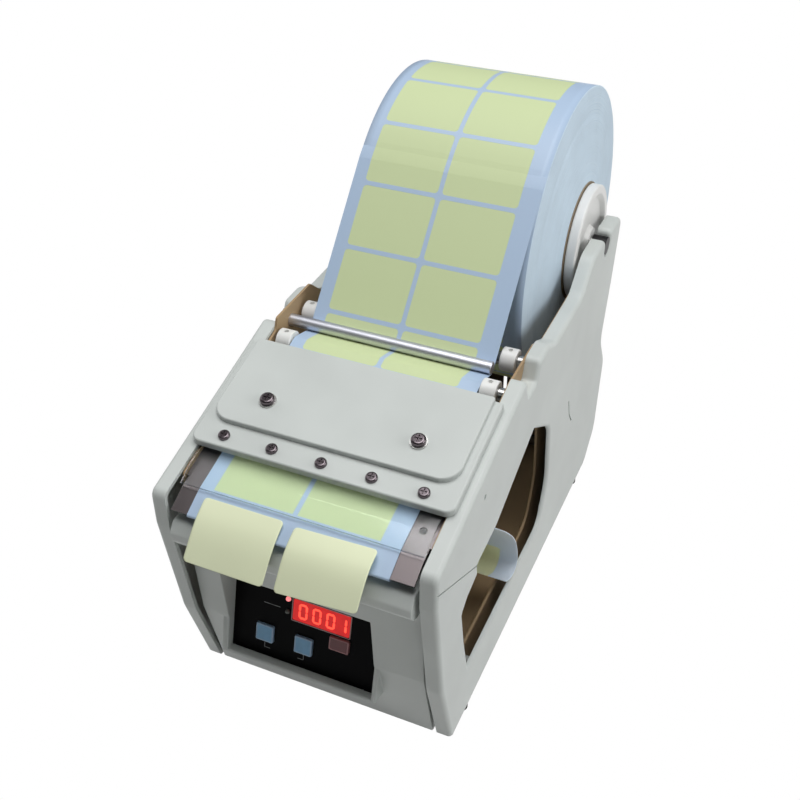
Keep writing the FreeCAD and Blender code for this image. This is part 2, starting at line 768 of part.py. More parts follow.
def belt(start, wheels, end):
    """Middle line of a tight belt: (y, z, radius) wheels, a negative radius for one on its right."""
    lines = []
    stops = [(start[0], start[1], 0)] + wheels + [(end[0], end[1], 0)]
    for (y1, z1, r1), (y2, z2, r2) in zip(stops, stops[1:]):
        span = Vector(y2 - y1, z2 - z1, 0)
        swing = math.asin((r1 - r2) / span.Length)
        heading = math.atan2(span.y, span.x) + swing
        course = Vector(math.cos(heading), math.sin(heading), 0)
        left = Vector(-course.y, course.x, 0)
        lines.append((Vector(y1, z1, 0) - left * r1, course))
    path = [(start[0], start[1], 0)]
    for (foot, course), (next_foot, next_course), wheel in zip(lines, lines[1:], wheels):
        along = (next_foot - foot).cross(next_course).z / course.cross(next_course).z
        corner = foot + course * along
        path.append((corner.x, corner.y, abs(wheel[2])))
    return path + [(end[0], end[1], 0)]


def sheet_body(name, path, thick, left, right):
    body = new_body(name)
    face = sketch(body, name + "_face", "YZ_Plane", ribbon(path, mm(thick)), lift=left)
    pad(body, name + "_pad", face, "(%s) - (%s)" % (right, left))
    return body


# Peel plate and clear sheet, in the slanting frame of the wall tops
plate_level = -mm("plate_sink + plate_thick / 2")
plate_path = [(mm("plate_back"), plate_level, 0), (mm("plate_bend"), plate_level, 3),
              (-mm("plate_nose"), plate_level - mm("plate_dip"), 0)]
plate = sheet_body("plate", plate_path, "plate_thick", "-plate_half", "plate_half")
flanges = [box("flange%d" % number, (start, "plate_bend + 10", "-plate_sink - plate_flange"),
               ("plate_thick", "plate_back - plate_bend - 14", "plate_flange - plate_thick / 2"))
           for number, start in enumerate(("plate_half - plate_thick", "-plate_half"))]
corners = [box("plate_corner%d" % number, (start, "-plate_nose - 10", "-plate_sink - 12"),
               ("5", "plate_nose + plate_bend + 18", "24"))
           for number, start in enumerate(("plate_half - plate_notch", "-plate_half + plate_notch - 5"))]
sensor_hole = bar("sensor_hole", ("sensor_side", "sensor_hole_back", "-plate_sink - 5"),
                  "sensor_hole_radius", "10", "z")
seat(cut("plate_cut", join("plate_whole", plate, *flanges), sensor_hole, *corners),
     "peel_plate", TOP, "top_slope")
sensor = box("sensor_block", ("sensor_side - 5.3", "sensor_hole_back - 7",
                              "-plate_sink - plate_thick - 8.1"), ("11.8", "14", "8"))
sensor_tip = bar("sensor_tip", ("sensor_side", "sensor_hole_back", "-plate_sink - plate_thick - 1"),
                 "sensor_hole_radius - 0.3", "1.2", "z")
seat(join("sensor", sensor, sensor_tip), "label_sensor", TOP, "top_slope")

sheet_level = mm("cover_gap - sheet_thick / 2 - 0.05")
clear_path = [(mm("sheet_back"), sheet_level, 0), (mm("sheet_bend"), sheet_level, 5),
              (mm("sheet_front"), sheet_level - mm("sheet_dip"), 0)]
clear = sheet_body("clear", clear_path, "sheet_thick", "-sheet_half", "sheet_half")
strip_sides = ["%d * strip_screw_pitch" % place_number for place_number in (-2, -1, 0, 1, 2)]


def drill(name, sides, back, radius):
    return [bar("%s%d" % (name, number), (side, back, "-20"), radius, "40", "z")
            for number, side in enumerate(sides)]


seat(cut("clear_cut", clear, *drill("clear_hole", strip_sides, "strip_screws_back", "1.7")),
     "clear_guide_sheet", TOP, "top_slope")

# Top cover: a strip plate with a raised plate on it, five strip screws and two capped screws on washers
cap_sides = ["-cap_screw_half", "cap_screw_half"]


def cover_part(name, half, front, corner, low, high, rounding, tools):
    body = new_body(name)
    face = sketch(body, name + "_face", "XY_Plane", outline([
        (-mm(half), mm("cover_back"), 1), (-mm(half), mm(front), corner), (mm(half), mm(front), corner),
        (mm(half), mm("cover_back"), 1)]), lift=low)
    top = pad(body, name + "_pad", face, "(%s) - (%s)" % (high, low))
    doc.recompute()
    rim = ["Edge%d" % number for number, edge in enumerate(top.Shape.Edges, start=1)
           if all(abs(vertex.Z - mm(high)) < 1e-6 for vertex in edge.Vertexes)]
    edge_round = body.newObject("PartDesign::Fillet", name + "_rounding")
    edge_round.Base = (top, rim)
    edge_round.Radius = rounding
    return seat(cut(name + "_cut", body, *tools), name, TOP, "top_slope")


cover_part("top_cover", "cover_half", "cover_front", 6, "cover_gap", "raised_level", 1.2,
           drill("cover_hole", strip_sides, "strip_screws_back", "1.7")
           + drill("cover_cap_hole", cap_sides, "cap_screws_back", "2.2"))
cover_part("raised_plate", "raised_half", "raised_front", mm("raised_round"), "raised_level + 0.02",
           "washer_level", 1.0, drill("raised_hole", cap_sides, "cap_screws_back", "2.2"))


def pan_screw(name, side, back, level, head, shank, length, head_tall):
    """A pan-head screw with a cross slot, its head standing on a level."""
    top = bar(name + "_head", (side, back, level), head, head_tall, "z")
    rounding = doc.addObject("Part::Fillet", name + "_round")
    doc.recompute()
    rounding.Base = top
    ends = [number for number, edge in enumerate(top.Shape.Edges, start=1)
            if len(edge.Vertexes) == 1 and abs(edge.Vertexes[0].Z - mm(level) - mm(head_tall)) < 1e-6]
    size = mm(head_tall) * 0.55
    rounding.Edges = [(number, size, size) for number in ends]
    slot_low, slot_long = "%s + %s - 0.9" % (level, head_tall), "%s * 1.1" % head
    across = box(name + "_slot_a", ("%s - %s * 0.55" % (side, head), back + " - 0.35", slot_low),
                 (slot_long, "0.7", "2"))
    along = box(name + "_slot_b", (side + " - 0.35", "%s - %s * 0.55" % (back, head), slot_low),
                ("0.7", slot_long, "2"))
    stem = bar(name + "_shank", (side, back, "%s - (%s)" % (level, length)), shank, length + " + 0.5", "z")
    return cut(name, join(name + "_body", rounding, stem), across, along)


screws = [pan_screw("strip_screw%d" % number, side, "strip_screws_back", "(raised_level + 0.05)",
                    "strip_screw_head", "1.5", "cover_thick + sheet_thick + 1", "2.2")
          for number, side in enumerate(strip_sides)]
seat(group("strip_screws", *screws), "cover_strip_screws", TOP, "top_slope")
washers = []
for number, side in enumerate(cap_sides):
    disc = bar("washer_disc%d" % number, (side, "cap_screws_back", "washer_level + 0.05"), "cap_washer",
               "1", "z")
    bore = bar("washer_bore%d" % number, (side, "cap_screws_back", "washer_level"), "2.2", "2", "z")
    washers.append(cut("washer%d" % number, disc, bore))
seat(group("washers", *washers), "cover_washers", TOP, "top_slope")
screws = [pan_screw("cap_screw%d" % number, side, "cap_screws_back", "(washer_level + 1.1)", "4.4",
                    "2", "cover_thick + raised_thick + 3.8", "2.8")
          for number, side in enumerate(cap_sides)]
seat(group("cap_screws", *screws), "cover_cap_screws", TOP, "top_slope")
bridge = box("bridge_bar", ("-plate_half", "cap_screws_back - 8", "-3.4"),
             ("2 * plate_half", "16", "3.4 + cover_gap - 0.1"))
seat(cut("bridge", bridge, *drill("bridge_hole", cap_sides, "cap_screws_back", "2.05")),
     "cover_bridge", TOP, "top_slope")

# Guide shafts, collars and tension rod
for label, back in (("guide_shaft_front", "guide_front"), ("guide_shaft_rear", "guide_rear")):
    shaft = bar(label + "_bar", ("-spindle_out", back, "guide_tall"), "guide_radius", "2 * spindle_out")
    seat(group(label + "_group", shaft), label)
collar_right = "web_half + web_shift + collar_slack"
collar_left = "web_left - collar_slack - collar_long"
for row, back in (("front", "guide_front"), ("rear", "guide_rear")):
    for hand, start in (("left", collar_left), ("right", collar_right)):
        label = "collar_%s_%s" % (row, hand)
        ring_body = bar(label + "_ring", (start, back, "guide_tall"), "collar_radius", "collar_long")
        edges = doc.addObject("Part::Fillet", label + "_rounding")
        doc.recompute()
        edges.Base = ring_body
        edges.Edges = [(number, 0.8, 0.8) for number, edge in enumerate(ring_body.Shape.Edges, start=1)
                       if len(edge.Vertexes) == 1]
        bore = bar(label + "_bore", (start + " - 1", back, "guide_tall"), "guide_radius + bush_gap",
                   "collar_long + 2")
        thread = bar(label + "_thread", (start + " + collar_long / 2", back,
                                         "guide_tall + collar_radius - 2"), "1.5", "4", "z")
        seat(cut(label + "_cut", edges, bore, thread), label)
rod = bar("rod_bar", ("-inside - 6", "rod_back", "rod_tall"), "rod_radius", "inside + 6 + rod_free_end")
rod_end = doc.addObject("Part::Fillet", "rod_rounding")
doc.recompute()
rod_end.Base = rod
rod_end.Edges = [(number, 0.8, 0.8) for number, edge in enumerate(rod.Shape.Edges, start=1)
                 if len(edge.Vertexes) == 1]
seat(group("tension_rod_group", rod_end), "tension_rod")
nut = doc.addObject("Part::Prism", "nut_block")
nut.Polygon = 6
bind(nut, "Circumradius", "rod_radius + 3")
bind(nut, "Height", "3.5")
place(nut, ("-inside - chassis_thick - 3.6", "rod_back", "rod_tall"), Rotation(Vector(0, 1, 0), 90))
nut_bore = bar("nut_bore", ("-inside - 10", "rod_back", "rod_tall"), "rod_radius + 0.02", "12")
seat(cut("nut", nut, nut_bore), "rod_nut")

# Reel: axle with end caps, hub flanges, core and label roll
cap_in = "wall_half - axle_end_flush - axle_end_long"
axle_mid = bar("axle_bar", ("-wall_half + axle_end_flush + 2", "reel_back", "reel_tall"), "axle_radius",
               "2 * (wall_half - axle_end_flush - 2)")
seat(group("axle_group", axle_mid), "reel_axle")
for label, start in (("axle_end_right", cap_in), ("axle_end_left", "-wall_half + axle_end_flush")):
    sleeve = bar(label + "_sleeve", (start, "reel_back", "reel_tall"), "axle_end_radius", "axle_end_long")
    socket_start = start + (" - 1" if label == "axle_end_right" else " + 2")
    socket = bar(label + "_socket", (socket_start, "reel_back", "reel_tall"), "axle_radius + 0.02",
                 "axle_end_long - 1")
    seat(cut(label + "_cut", sleeve, socket), label)


def moved(body):
    """Carry a piece turned about the X axis to the reel's centre."""
    return place(body, ("0", "reel_back", "reel_tall"))


def hub(label, side):
    """A hub flange with a plug that fills the end of the core."""
    face, root = mm("flange_face") * side, mm("flange_face - hub_thick") * side
    plug_end = mm("flange_face - hub_thick - hub_plug") * side
    bore, plug, rim = mm("axle_radius + bush_gap"), mm("core_bore - 0.15"), mm("hub_radius")
    body = new_body(label)
    web_face = face - 3 * side
    profile = [
        (face, bore, 0), (face, bore + 5, 0.8), (web_face, bore + 7, 0.8), (web_face, rim - 9, 1),
        (face, rim - 6, 1), (face, rim, 1.5), (root, rim, 1.2), (root, plug, 0), (plug_end, plug, 0.8),
        (plug_end, plug - 3, 0), (root, plug - 3, 1), (root, bore + 4, 1), (plug_end, bore + 3, 0),
        (plug_end, bore, 0)]
    turned(body, label + "_turned", sketch(body, label + "_profile", "XY_Plane", outline(profile)))
    doc.recompute()
    return seat(group(label + "_group", moved(body)), label)


hub("hub_flange_right", 1)
hub("hub_flange_left", -1)
web_right, web_left = mm("web_half + web_shift"), mm("web_left")
core_left = web_left + mm("roll_lean")
core_bottom, core_top, roll_top = mm("core_bore"), mm("core_radius"), mm("roll_radius")
core_right = mm("flange_face - hub_thick") - 0.2
core = new_body("core")
turned(core, "core_turned", sketch(core, "core_profile", "XY_Plane", rect(
    core_left, core_right, core_bottom, core_top)))
seat(group("core_group", moved(core)), "roll_core")
roll = new_body("roll")
turned(roll, "roll_turned", sketch(roll, "roll_profile", "XY_Plane", outline([
    (core_left, core_top + 0.05, 0), (core_right - 0.3, core_top + 0.05, 0),
    (web_right, roll_top, 0.6), (web_left, roll_top, 0.6)])))
seat(group("roll_group", moved(roll)), "label_roll")

# Web: from the roll under the tension rod, over the front shaft, round the peel edge, back to the nip
half_web = mm("web_thick / 2 + web_gap")
bend = slope_point(mm("plate_bend"), plate_level - 2.4)
nose = slope_point(-mm("plate_nose"), plate_level - mm("plate_dip"))
leave = (mm("reel_back"), mm("reel_tall"), mm("roll_radius") + half_web)
turn_down = (mm("drive_back") + 38, mm("tail_level") + 22)
wheels = [
    leave, (mm("rod_back"), mm("rod_tall"), -mm("rod_radius") - half_web),
    (mm("guide_front"), mm("guide_tall"), mm("guide_radius") + half_web),
    (*bend, mm("plate_thick / 2") + 2.4 + half_web), (*nose, mm("plate_thick / 2") + half_web),
    (mm("drive_back"), mm("drive_tall"), -mm("drive_radius + nip / 2")),
]
path = belt((leave[0], leave[1] + 2 * leave[2]), wheels, turn_down)
first, second = Vector(*path[1][:2], 0), Vector(*path[2][:2], 0)
course = (second - first).normalize()
reach = (Vector(leave[0], leave[1], 0) - first).dot(course)
tangent = first + course * reach
last, goal = Vector(*path[-2][:2], 0), Vector(*turn_down, 0)
course = (goal - last).normalize()
reach = (Vector(mm("drive_back"), mm("drive_tall"), 0) - last).dot(course)
drop_off = last + course * reach
web_path = [(tangent.x, tangent.y, 0)] + path[2:-1] + [(drop_off.x, drop_off.y, 0)]
seat(sheet_body("web", web_path, "web_thick", "web_left", "web_left + 2 * web_half"), "label_web")

# Liner tail: it wanders sideways behind the rollers and curls out of the right-hand window
tail_start = drop_off + course * 0.3
knee = Vector(mm("drive_back + tail_knee"), mm("tail_level"), 0)
steps = [k / 8 for k in range(9)]
fall_path = []
for k in steps:
    point = tail_start * (1 - k) ** 2 + goal * (2 * k * (1 - k)) + knee * k ** 2
    fall_path.append((point.x, point.y, 0))
wander = mm("tail_edge - web_shift - web_half")
corners = []
for edge in ribbon(fall_path, mm("web_thick")):
    y, z = edge.StartPoint.x, edge.StartPoint.y
    corners.append(Vector(web_left + wander * (tail_start.y - z) / (tail_start.y - knee.y), y, z))
leaning = doc.addObject("Part::Feature", "tail_upper")
leaning.Shape = Part.Face(Part.makePolygon(corners + corners[:1])).extrude(Vector(2 * mm("web_half"), 0, 0))
before = knee - (knee - goal).normalize() * 0.8
sill = mm("window_sill")
lower_path = [(before.x, before.y, 0), (knee.x + 20, sill + 39, 60), (knee.x + 28.5, sill + 21, 30),
              (knee.x + 33, sill + 3.3, 9), (knee.x + 18, sill + 2, 8), (knee.x + 7, sill + 10, 0)]
lower = sheet_body("tail_lower", lower_path, "web_thick", "tail_edge - 2 * web_half", "tail_edge")
seat(join("liner_tail_whole", leaning, lower), "liner_tail")


# Two peeled labels standing off the plate and hanging over its edge
def hanging(label, left, path, lean_side):
    body = sheet_body(label + "_sheet", path, "label_thick", "0", "label_wide")
    place(body, (left, "0", "0"), Rotation(Vector(0, 1, 0), lean_side))
    return seat(group(label + "_group", body), label)


top = mm("top_tall")
hang_left = [(17, top - 4.2, 0), (2, top - 8.5, 12), (-9.4, top - 14, 5), (-8.6, top - 31, 0)]
hang_right = [(17, top - 4.2, 0), (3, top - 8.2, 12), (-9, top - 13, 6), (-13.4, top - 20, 5),
              (-7.5, top - 28, 0)]
hanging("peeled_label_left", "label_left", hang_left, 0)
hanging("peeled_label_right", "label_right", hang_right, 0)

# Liner drive: two rollers on spindles in flanged bushes
roller = bar("drive_rubber", ("-drive_half", "drive_back", "drive_tall"), "drive_radius", "2 * drive_half")
roller_bore = bar("drive_bore", ("-drive_half - 1", "drive_back", "drive_tall"), "spindle_radius",
                  "2 * drive_half + 2")
seat(cut("drive_tube", roller, roller_bore), "drive_roller")
spindle = bar("drive_bar", ("-gear_in - gear_thick - 0.5", "drive_back", "drive_tall"), "spindle_radius",
              "gear_in + gear_thick + 0.5 + spindle_out")
seat(group("drive_spindle_group", spindle), "drive_spindle")
pinch_rubber = bar("pinch_rubber", ("-drive_half", "drive_back", "pinch_tall"), "pinch_radius",
                   "2 * drive_half")
pinch_bar = bar("pinch_bar", ("-spindle_out", "drive_back", "pinch_tall"), "spindle_radius - 1",
                "2 * spindle_out")
seat(join("pinch_whole", pinch_rubber, pinch_bar), "pinch_roller")


def bush(name, side, tall, spindle, flange):
    """A flanged bush in a chassis plate, its flange on the inner face."""
    start = "inside - 1.2" if side > 0 else "-spindle_out"
    flange_start = "inside - 1.2" if side > 0 else "-inside"
    barrel = bar(name + "_barrel", (start, "drive_back", tall), spindle + " + bush_gap + bush_wall - 0.02",
                 "chassis_thick + 1.1")
    collar = bar(name + "_flange", (flange_start, "drive_back", tall), flange, "1.2")
    bore = bar(name + "_bore", (start + " - 1", "drive_back", tall), spindle + " + bush_gap",
               "chassis_thick + 4")
    return cut(name, join(name + "_body", barrel, collar), bore)


bushes = []
for side in (1, -1):
    bushes.append(bush("drive_bush%d" % len(bushes), side, "drive_tall", "spindle_radius", "8"))
    bushes.append(bush("pinch_bush%d" % len(bushes), side, "pinch_tall", "(spindle_radius - 1)", "6.4"))
seat(group("bushes", *bushes), "roller_bushes")


# Gear train in the hollow of the left wall
def gear_loop(teeth, first_tooth):
    """Outline of a toothed wheel round the origin with one tooth at the given angle."""
    module = mm("gear_module")
    pitch_radius, step = module * teeth / 2, 2 * math.pi / teeth
    root, tip = pitch_radius - 1.2 * module, pitch_radius + 0.85 * module
    corners = []
    for number in range(teeth):
        middle = first_tooth + number * step
        for radius, swing in ((root, -0.29), (tip, -0.11), (tip, 0.11), (root, 0.29)):
            angle = middle + swing * step
            corners.append((radius * math.cos(angle), radius * math.sin(angle), 0))
    return outline(corners)


def gear(name, teeth, first_tooth, bore, *more):
    body = new_body(name)
    face = sketch(body, name + "_face", "YZ_Plane", gear_loop(teeth, first_tooth), ring(0, 0, bore), *more,
                  lift="-gear_in - gear_thick")
    pad(body, name + "_pad", face, "gear_thick")
    return body


line_angle = math.radians(mm("train_rise"))
IDLER_AT = ("drive_back + idler_reach * cos(train_rise)", "drive_tall + idler_reach * sin(train_rise)")
PINION_AT = ("drive_back + pinion_reach * cos(train_rise)", "drive_tall + pinion_reach * sin(train_rise)")
spokes = [ring(13 * math.cos(turn), 13 * math.sin(turn), 3) for turn in [k * math.pi / 3 for k in range(6)]]
drive_gear = gear("drive_wheel", SIZES["drive_teeth"], line_angle, mm("spindle_radius") + 0.01)
seat(group("drive_gear_group", place(drive_gear, ("0", "drive_back", "drive_tall"))), "drive_gear")
half_step = math.pi / SIZES["idler_teeth"]
idler = gear("idler_wheel", SIZES["idler_teeth"], line_angle + math.pi + half_step,
             mm("spindle_radius + bush_gap"), *spokes)
seat(group("idler_group", place(idler, ("0",) + IDLER_AT)), "idler_gear")
pinion = gear("pinion_wheel", SIZES["pinion_teeth"], line_angle + math.pi, 2.01)
seat(group("pinion_group", place(pinion, ("0",) + PINION_AT)), "motor_pinion")
stud = bar("stud_bar", ("-gear_in - gear_thick - 0.6",) + IDLER_AT, "spindle_radius",
           "gear_in + gear_thick + 0.6 - (inside - 2)")
stud_head = bar("stud_head", ("-inside",) + IDLER_AT, "spindle_radius + 2.5", "2")
stud_ring = bar("stud_ring", ("0.1 - gear_in",) + IDLER_AT, "spindle_radius + 1.5", "1")
seat(join("stud", stud, stud_head, stud_ring), "idler_stud")
motor_shaft = bar("motor_shaft_bar", ("-gear_in - gear_thick - 0.5",) + PINION_AT, "2",
                  "gear_in + gear_thick - (inside - 12)")
seat(group("motor_shaft_group", motor_shaft), "motor_shaft")
can = bar("motor_can", ("0.05 - inside",) + PINION_AT, "motor_radius", "motor_long")
boss = bar("motor_boss", ("-spindle_out",) + PINION_AT, "4.8", "3")
cap = bar("motor_cap", ("motor_long - inside + 0.05",) + PINION_AT, "motor_radius - 5", "3")
well = bar("motor_well", ("-inside - 5",) + PINION_AT, "2.05", "19")
seat(cut("motor", join("motor_body", can, boss, cap), well), "drive_motor")

# Rear plate between the chassis plates, with the power switch and the supply jack
rear_sheet = box("rear_sheet", ("-plate_half", "chassis_back - rear_thick", "12"),
                 ("2 * plate_half", "rear_thick", "rear_tall - 12"))
wings = [box("rear_wing%d" % number, (start, "chassis_back - 14", "12"),
             ("rear_thick", "13", "rear_tall - 12"))
         for number, start in enumerate(("-plate_half", "plate_half - rear_thick"))]
switch_hole = box("switch_hole", ("switch_side - switch_half_wide - 0.6", "chassis_back - 5",
                                  "switch_tall - switch_half_tall - 0.6"),
                  ("2 * switch_half_wide + 1.2", "10", "2 * switch_half_tall + 1.2"))
jack_hole = bar("jack_hole", ("jack_side", "chassis_back - 5", "switch_tall"), "jack_radius - 0.5",
                "10", "y")
vents = [box("vent%d" % number, ("%d" % (14 + 7 * number), "chassis_back - 5", "40"), ("3", "10", "34"))
         for number in range(7)]
seat(cut("rear_cut", join("rear_whole", rear_sheet, *wings), switch_hole, jack_hole, *vents), "rear_plate")
bezel = box("switch_bezel", ("switch_side - switch_half_wide - 2.2", "chassis_back + 0.05",
                             "switch_tall - switch_half_tall - 2.2"),
            ("2 * switch_half_wide + 4.4", "1.6", "2 * switch_half_tall + 4.4"))
shell_box = box("switch_shell", ("switch_side - switch_half_wide - 0.5", "chassis_back - 16",
                                 "switch_tall - switch_half_tall - 0.5"),
                ("2 * switch_half_wide + 1", "17", "2 * switch_half_tall + 1"))
shell_well = box("switch_well", ("switch_side - switch_half_wide + 0.5", "chassis_back - 12",
                                 "switch_tall - switch_half_tall + 0.3"),
                 ("2 * switch_half_wide - 1", "20", "2 * switch_half_tall - 0.6"))
pivot_hole = bar("switch_pivot_hole", ("switch_side - switch_half_wide - 0.3", "chassis_back - 1.5",
                                       "switch_tall"), "1.05", "2 * switch_half_wide + 0.6")
seat(cut("switch_cut", join("switch_whole", bezel, shell_box), shell_well, pivot_hole), "power_switch")
rocker_half = mm("switch_half_tall - rocker_gap") - 0.3
rocker_body = new_body("rocker_body")
rocker_face = sketch(rocker_body, "rocker_face", "YZ_Plane", outline([
    (4.4, rocker_half, 0.5), (2.9, 0, 12), (4.4, -rocker_half, 0.5), (0.5, -rocker_half, 0.5),
    (-4.5, -3.5, 1), (-4.5, 3.5, 1), (0.5, rocker_half, 0.5)]), lift="rocker_gap + 0.5 - switch_half_wide")
pad(rocker_body, "rocker_pad", rocker_face, "2 * (switch_half_wide - rocker_gap - 0.5)")
rocker_pin = bar("rocker_pin", ("0.1 - switch_half_wide", "0", "0"), "1", "2 * switch_half_wide - 0.2")
tilted = join("rocker_whole", rocker_body, rocker_pin)
place(tilted, ("switch_side", "chassis_back - 1.5", "switch_tall"), Rotation(Vector(1, 0, 0), -7))
seat(group("rocker_group", tilted), "power_rocker")
jack_ring = bar("jack_ring", ("jack_side", "chassis_back + 0.05", "switch_tall"), "jack_radius + 1",
                "2", "y")
jack_barrel = bar("jack_barrel", ("jack_side", "chassis_back - 12", "switch_tall"), "jack_radius - 0.6",
                  "13", "y")
jack_well = bar("jack_well", ("jack_side", "chassis_back - 9", "switch_tall"), "3.1", "20", "y")
jack_pin = bar("jack_pin", ("jack_side", "chassis_back - 11", "switch_tall"), "1", "12", "y")
jack_shell = cut("jack_shell", join("jack_body", jack_ring, jack_barrel), jack_well)
seat(join("jack", jack_shell, jack_pin), "supply_jack")

# Fixing screws through each chassis plate into the bosses of its wall
FIXINGS = [
    ("chassis_front + 13", "top_tall - 11"), ("top_back + 1", "top_tall + 6.5"),
    ("deck_front + 37", "deck_tall - 29.5"), ("chassis_back - 21", "rear_tall - 24"),
    ("window_back + 23", "24"), ("window_front + 29", "22"),
]


def free(label, new_label):
    """Take a seated piece back out of its place, so that it can be cut again in its own frame."""
    item = pieces[label]
    item.Label = new_label
    for axis in "xyz":
        item.setExpression(".Placement.Base." + axis, None)
    item.Placement = Placement()
    return item


heads = []
for hand, side in (("right", 1), ("left", -1)):
    wall_label, plate_label = "side_wall_" + hand, "chassis_plate_" + hand
    boss_start = "wall_half - wall_thick" if side > 0 else "wall_skin / 2 - wall_half"
    tap_start = "wall_half - wall_thick - 1" if side > 0 else "wall_thick - wall_half - 6"
    head_start = "inside - 2.1" if side > 0 else "0.1 - inside"
    stem_start = "inside - 1" if side > 0 else "-inside - 6"
    bosses, taps, passages = [], [], []
    for number, spot in enumerate(FIXINGS):
        name = "%s_%d" % (hand, number)
        bosses.append(bar("boss_" + name, (boss_start, *spot), "4.5", "wall_thick - wall_skin / 2"))
        taps.append(bar("tap_" + name, (tap_start, *spot), "1.55", "7"))
        passages.append(bar("pass_" + name, ("%d * (inside + 1) - 5" % side, *spot), "1.6", "10"))
        heads.append(join("screw_" + name, bar("head_" + name, (head_start, *spot), "3", "2"),
                          bar("stem_" + name, (stem_start, *spot), "1.5", "7")))
    shell = free(wall_label, wall_label + "_shell")
    seat(cut(wall_label + "_cut", join(wall_label + "_with_bosses", shell, *bosses), *taps), wall_label)
    plate = free(plate_label, plate_label + "_sheet")
    seat(cut(plate_label + "_cut", plate, *passages), plate_label)
seat(group("fixings", *heads), "wall_screws")

doc.recompute()
for item in doc.Objects:
    if "Invalid" in item.State or "Error" in item.State:
        raise ValueError("%s is %s" % (item.Name, item.State))
os.makedirs("parts", exist_ok=True)
for label, piece in pieces.items():
    shape = piece.Shape
    if shape.isNull() or not shape.isValid():
        raise ValueError(label + " is not a sound shape")
    shape.exportStep("parts/" + label + ".step")
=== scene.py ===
"""Bench label dispenser, dressed for a photograph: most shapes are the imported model's own, with a finish each.
The paper, the front housing, the panel's printing and the lit digits are made here."""
import bpy
import math
import numpy as np
from mathutils import Matrix


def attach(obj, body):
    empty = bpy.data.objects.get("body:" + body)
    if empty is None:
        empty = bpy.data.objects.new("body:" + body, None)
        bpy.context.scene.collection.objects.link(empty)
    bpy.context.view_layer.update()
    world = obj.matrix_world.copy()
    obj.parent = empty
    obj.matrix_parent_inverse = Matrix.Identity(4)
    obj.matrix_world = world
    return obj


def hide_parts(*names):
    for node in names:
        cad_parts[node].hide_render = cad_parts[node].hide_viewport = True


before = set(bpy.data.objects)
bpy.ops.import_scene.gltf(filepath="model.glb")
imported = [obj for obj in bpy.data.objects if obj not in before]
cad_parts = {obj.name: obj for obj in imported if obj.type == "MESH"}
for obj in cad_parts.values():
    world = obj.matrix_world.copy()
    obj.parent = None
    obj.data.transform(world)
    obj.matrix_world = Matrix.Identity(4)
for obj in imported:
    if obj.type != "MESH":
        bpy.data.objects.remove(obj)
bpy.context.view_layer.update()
MM = 0.001
# Sizes are in the source's millimetres, Y from its datum and Z from the walls' underside, shifted on the way out.
BACK_SHIFT, FOOT = -203.2, 3.0
# The wall tops start here, in Y and Z, and climb towards the back.
TOPS_START = (12.0, 165.5)
TOPS_SLOPE = math.radians(14.3)

# Camera and studio. The dispenser stands on a white table and is seen from its front right, from above,
# through a normal lens. A large soft lamp overhead does most of the lighting, and two at the sides fill.
camera_data = bpy.data.cameras.new("photo_camera")
camera_data.sensor_width = 36.0
camera_data.lens = 50.0
camera = bpy.data.objects.new("photo_camera", camera_data)
bpy.context.scene.collection.objects.link(camera)
RIGHT = (0.913725, 0.406153, -0.012115)
UP = (-0.237828, 0.558742, 0.79451)
BACK = (0.329461, -0.723082, 0.607131)
PLACE = (0.2341, -0.5598, 0.5845)
camera.matrix_world = Matrix([[RIGHT[i], UP[i], BACK[i], PLACE[i]] for i in range(3)] + [[0, 0, 0, 1]])
bpy.context.scene.camera = camera
bpy.context.scene.view_settings.view_transform = "Standard"


def linear(code):
    """An sRGB hex colour as the linear RGBA that the shaders take."""
    parts = [int(code[i:i + 2], 16) / 255 for i in (1, 3, 5)]
    return tuple(c / 12.92 if c <= 0.04045 else ((c + 0.055) / 1.055) ** 2.4 for c in parts) + (1.0,)


def node(tree, kind, links=(), values=(), **settings):
    """Adds one shader node, sets its settings and socket values, and links its sockets."""
    item = tree.nodes.new(kind)
    for name, value in settings.items():
        setattr(item, name, value)
    for socket, value in dict(values).items():
        item.inputs[socket].default_value = value
    for socket, source in dict(links).items():
        tree.links.new(source, item.inputs[socket])
    return item


def finish(name):
    """An empty material, its node tree and its shader."""
    material = bpy.data.materials.new(name)
    material.use_nodes = True
    return material, material.node_tree, material.node_tree.nodes["Principled BSDF"]


def surface(name, points, faces, uv=None, smooth=True):
    """A mesh object at the origin from arrays of points in millimetres and of faces."""
    mesh = bpy.data.meshes.new(name)
    mesh.from_pydata((np.asarray(points) * MM).tolist(), [], [list(map(int, face)) for face in faces])
    if uv is not None:
        layer = mesh.uv_layers.new(name="flat")
        layer.data.foreach_set("uv", np.asarray(uv)[np.concatenate(faces)].ravel())
    mesh.polygons.foreach_set("use_smooth", [smooth] * len(mesh.polygons))
    item = bpy.data.objects.new(name, mesh)
    bpy.context.scene.collection.objects.link(item)
    return item


def grid_faces(rows, columns, close_rows=False):
    """Quads of a rows x columns grid of points, closed round the rows if asked."""
    r = np.arange(rows if close_rows else rows - 1)[:, None]
    c = np.arange(columns - 1)[None, :]
    after = (r + 1) % rows
    return np.stack([r * columns + c, r * columns + c + 1, after * columns + c + 1, after * columns + c],
                    -1).reshape(-1, 4)


